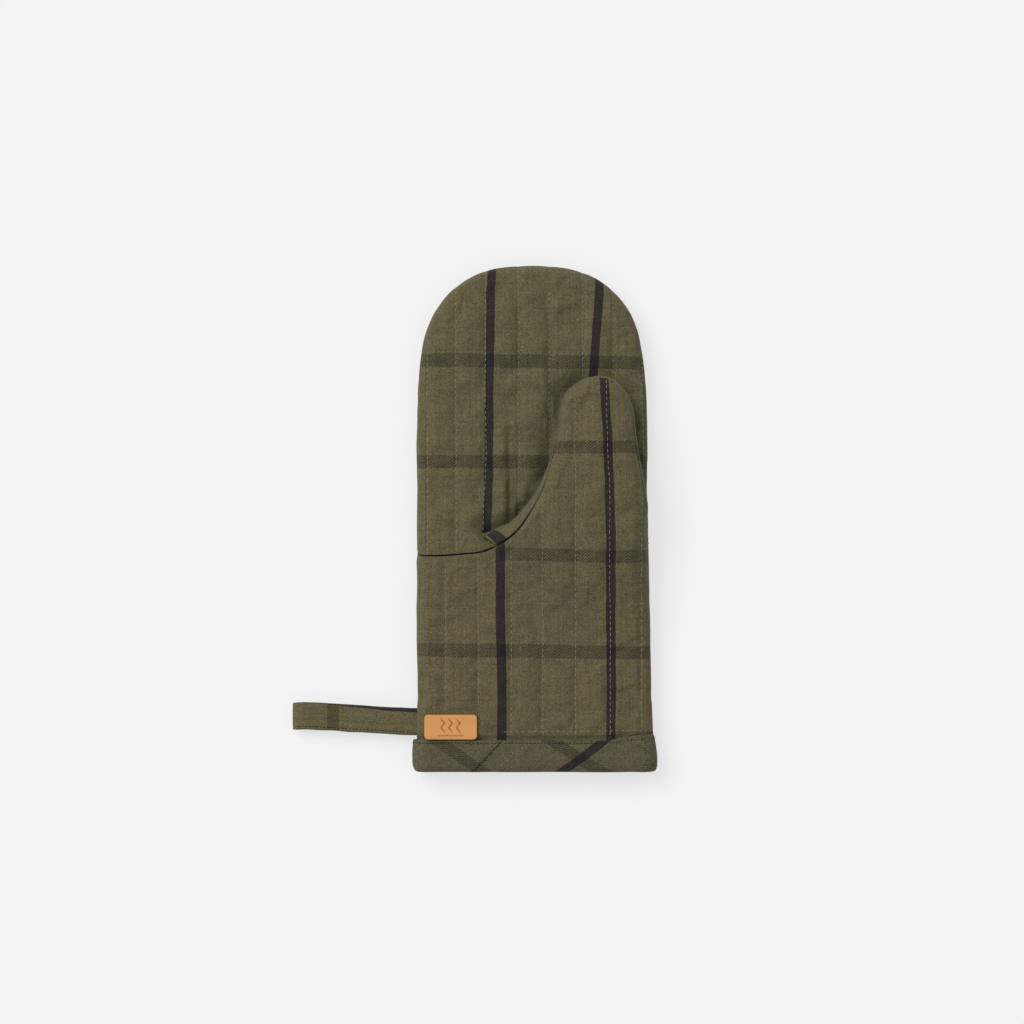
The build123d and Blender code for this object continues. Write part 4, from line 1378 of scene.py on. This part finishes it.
class MITT_OT_stitches(bpy.types.Operator):
    """Sew the quilting rows, the binding, the loop and the binding's slanting join"""
    bl_idname = "mitt.add_stitches"
    bl_label = "Stitches"

    def execute(self, context):
        sizes, colours = context.scene.mitt_stitches, context.scene.mitt_colours
        pale = thread_material("Quilting Thread", colours.thread, 0.5)
        dark = thread_material("Trim Thread", colours.trim_thread, 0.4)
        quilt = (sizes.pitch, sizes.length, sizes.thread, pale)
        edge = (sizes.fine_pitch, sizes.fine_pitch * 0.74, sizes.thread, dark)

        def row(x, low, high, seed):
            y = np.arange(low, high, 0.9)
            drift = {-29.6: 1.8 * (1 - ease(y, 152, 205)),
                     49.3: 1.6 * ease(y, 165, 250) - 0.5 * (1 - ease(y, 90, 160))}.get(x, 0.0)
            return np.column_stack([x - drift + 0.5 * wander(y, seed, 30, 41) + 0.12 * wander(y, seed, 5, 42), y])

        front = surface_of(made["lower_palm_thumb_front"])
        panel = np.vstack([curve_through(PALM_SEAM, SEAM_STEP), RIGHT[RIGHT[:, 1] < SEAM_RIGHT],
                           LEFT[LEFT[:, 1] < SEAM_LEFT][::-1]])
        panel = np.vstack([panel, panel[:1]])
        body = np.vstack([BODY_EDGE, BODY_EDGE[:1]])
        rows = []
        for number, x in enumerate(LOWER_ROWS):
            line = row(x, 22.6, 252, number)
            line = line[inside(line, panel) & (nearest(line, panel)[0] > 1.6) | (line[:, 1] < 26)]
            rows.append(dropped(front, line, lift=0.02))
        basted = np.column_stack([np.linspace(-17, 76, 100), 26.3 + np.linspace(0, 1.0, 100)])
        rows.append(dropped(front, basted, lift=-0.06))
        lower = sew("front_quilting_stitches", rows, *quilt)
        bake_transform(lower)
        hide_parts("lower_palm_quilting", "thumb_quilting")

        fingers = surface_of(made["finger_palm_cloth"])
        rows = []
        for number, x in enumerate(FINGER_ROWS):
            line = row(x, 142, 324, 20 + number)
            seam_y = np.interp(line[:, 0], [-75, -42, -20, 80], [139.5, 140.5, 146, 146])
            line = line[(nearest(line, BODY_EDGE)[0] > 1.2) & inside(line, body) & (line[:, 1] > seam_y + 2.5)]
            rows.append(dropped(fingers, line, lift=0.02))
        upper = sew("finger_quilting_stitches", rows, *quilt)
        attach(upper, "palm")
        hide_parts("finger_palm_quilting")

        back = surface_of(made["back_cloth"])
        rows = []
        for number, x in enumerate(BACK_ROWS):
            line = row(x, 22, 324, 40 + number)
            line = line[(nearest(line, BODY_EDGE)[0] > 4) & inside(line, body)]
            rows.append(dropped(back, line, -1, lift=-0.1))
        below = sew("back_quilting_stitches", rows, *quilt)
        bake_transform(below)
        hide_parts("back_quilting")

        # Topstitching 2 mm inside the binding's edge, all round, and its slanting join
        ring, out, _ = cuff_ring()
        cuff = surface_of(made["cuff_binding_cloth"])
        palm = ease(ring[:, 1], 4, 12)
        lift = cuff_climb(ring[:, 0]) * palm * (19 - 4) / 17
        path = []
        for (x, z), (nx, nz), up in zip(ring, out, lift):
            start = Vector(to_frame((x + nx * 6, 19.0 + up, z + nz * 6)))
            hit = cuff.ray_cast(start, -Vector((nx, 0, nz)).normalized())
            if hit[0] is not None:
                path.append(hit[0] + Vector((nx, 0, nz)) * 0.05 * MM)
        slant = dropped(cuff, np.column_stack([np.linspace(-20, -34.2, 34), np.linspace(19, 3.5, 34)]))
        top = sew("binding_stitches", [path, slant], *edge)
        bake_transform(top)
        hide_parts("binding_stitch_palm", "binding_stitch_back")

        strap = surface_of(made["hanging_loop_strap"])
        xs = np.linspace(-77.5, -149.5, 120)
        inset = (LOOP_LOW.y / MM - MOUTH) + 1.8 + 3.4 * ease(-xs, 74, 150)
        rows = [dropped(strap, np.column_stack([xs, inset]), 1, 0.02)]
        loop = sew("loop_edge_stitches", rows, *edge)
        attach(loop, "loop")
        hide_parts("loop_stitch")
        return {"FINISHED"}


class MITT_OT_stage(bpy.types.Operator):
    """Set the pale floor, the soft light and the camera"""
    bl_idname = "mitt.add_stage"
    bl_label = "Stage"

    def execute(self, context):
        scene = context.scene
        mesh = bpy.data.meshes.new("floor")
        low = -0.05 * MM
        mesh.from_pydata([(-4, -4, low), (4, -4, low), (4, 4, low), (-4, 4, low)], [], [(0, 1, 2, 3)])
        floor = bpy.data.objects.new("floor", mesh)
        scene.collection.objects.link(floor)
        mesh.materials.append(blank_material(
            "Pale Floor", Base_Color=(0.22, 0.22, 0.22, 1), Emission_Color=(1, 1, 1, 1), Emission_Strength=0.668,
            Roughness=0.9, Specular_IOR_Level=0.1)[0])
        world = bpy.data.worlds.new("Studio")
        world.use_nodes = True
        sky = world.node_tree.nodes["Background"].inputs
        sky["Color"].default_value, sky["Strength"].default_value = (1, 1, 1, 1), 0.56
        scene.world = world
        lamp = bpy.data.lights.new("soft_key", "SUN")
        lamp.energy, lamp.angle = 2.2, math.radians(38)
        light = bpy.data.objects.new("soft_key", lamp)
        light.location = (-1.0, 0.85, 1.35)
        light.rotation_euler = (-light.location).to_track_quat("-Z", "Y").to_euler()
        scene.collection.objects.link(light)
        scene.view_settings.view_transform = "Standard"
        camera = bpy.data.cameras.new("camera")
        camera.lens, camera.sensor_width = 164.8, 36.0
        camera.clip_start, camera.clip_end = 0.1, 20
        eye = bpy.data.objects.new("camera", camera)
        eye.location = (-0.0128, 0.00414, 3.0 + PALM_TOP * MM)
        scene.collection.objects.link(eye)
        scene.camera = eye
        return {"FINISHED"}


class MITT_PT_panel(bpy.types.Panel):
    """Sizes, colours and the buttons that build the mitt"""
    bl_label = "Oven Mitt"
    bl_idname = "MITT_PT_panel"
    bl_space_type = "VIEW_3D"
    bl_region_type = "UI"
    bl_category = "Mitt"

    def draw(self, context):
        for group in (getattr(context.scene, name) for name in GROUPS):
            box = self.layout.box()
            for name in group.bl_rna.properties.keys():
                if name not in ("rna_type", "name"):
                    box.prop(group, name)
        for operator in OPERATORS:
            self.layout.operator(operator.bl_idname)


OPERATORS = (MITT_OT_stage, MITT_OT_back, MITT_OT_fingers, MITT_OT_thumb_back, MITT_OT_front,
             MITT_OT_binding, MITT_OT_loop, MITT_OT_label, MITT_OT_stitches)
GROUPS = {"mitt_cloth": MittCloth, "mitt_stitches": MittStitches, "mitt_trim": MittTrim, "mitt_colours": MittColours}


def register():
    for kind in (*GROUPS.values(), *OPERATORS, MITT_PT_panel):
        bpy.utils.register_class(kind)
    for name, kind in GROUPS.items():
        setattr(bpy.types.Scene, name, PointerProperty(type=kind))


def unregister():
    for name in GROUPS:
        delattr(bpy.types.Scene, name)
    for kind in reversed((*GROUPS.values(), *OPERATORS, MITT_PT_panel)):
        bpy.utils.unregister_class(kind)


def main():
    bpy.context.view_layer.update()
    register()
    for operator in OPERATORS:
        area, name = operator.bl_idname.split(".")
        getattr(getattr(bpy.ops, area), name)()


if __name__ == "__main__":
    main()
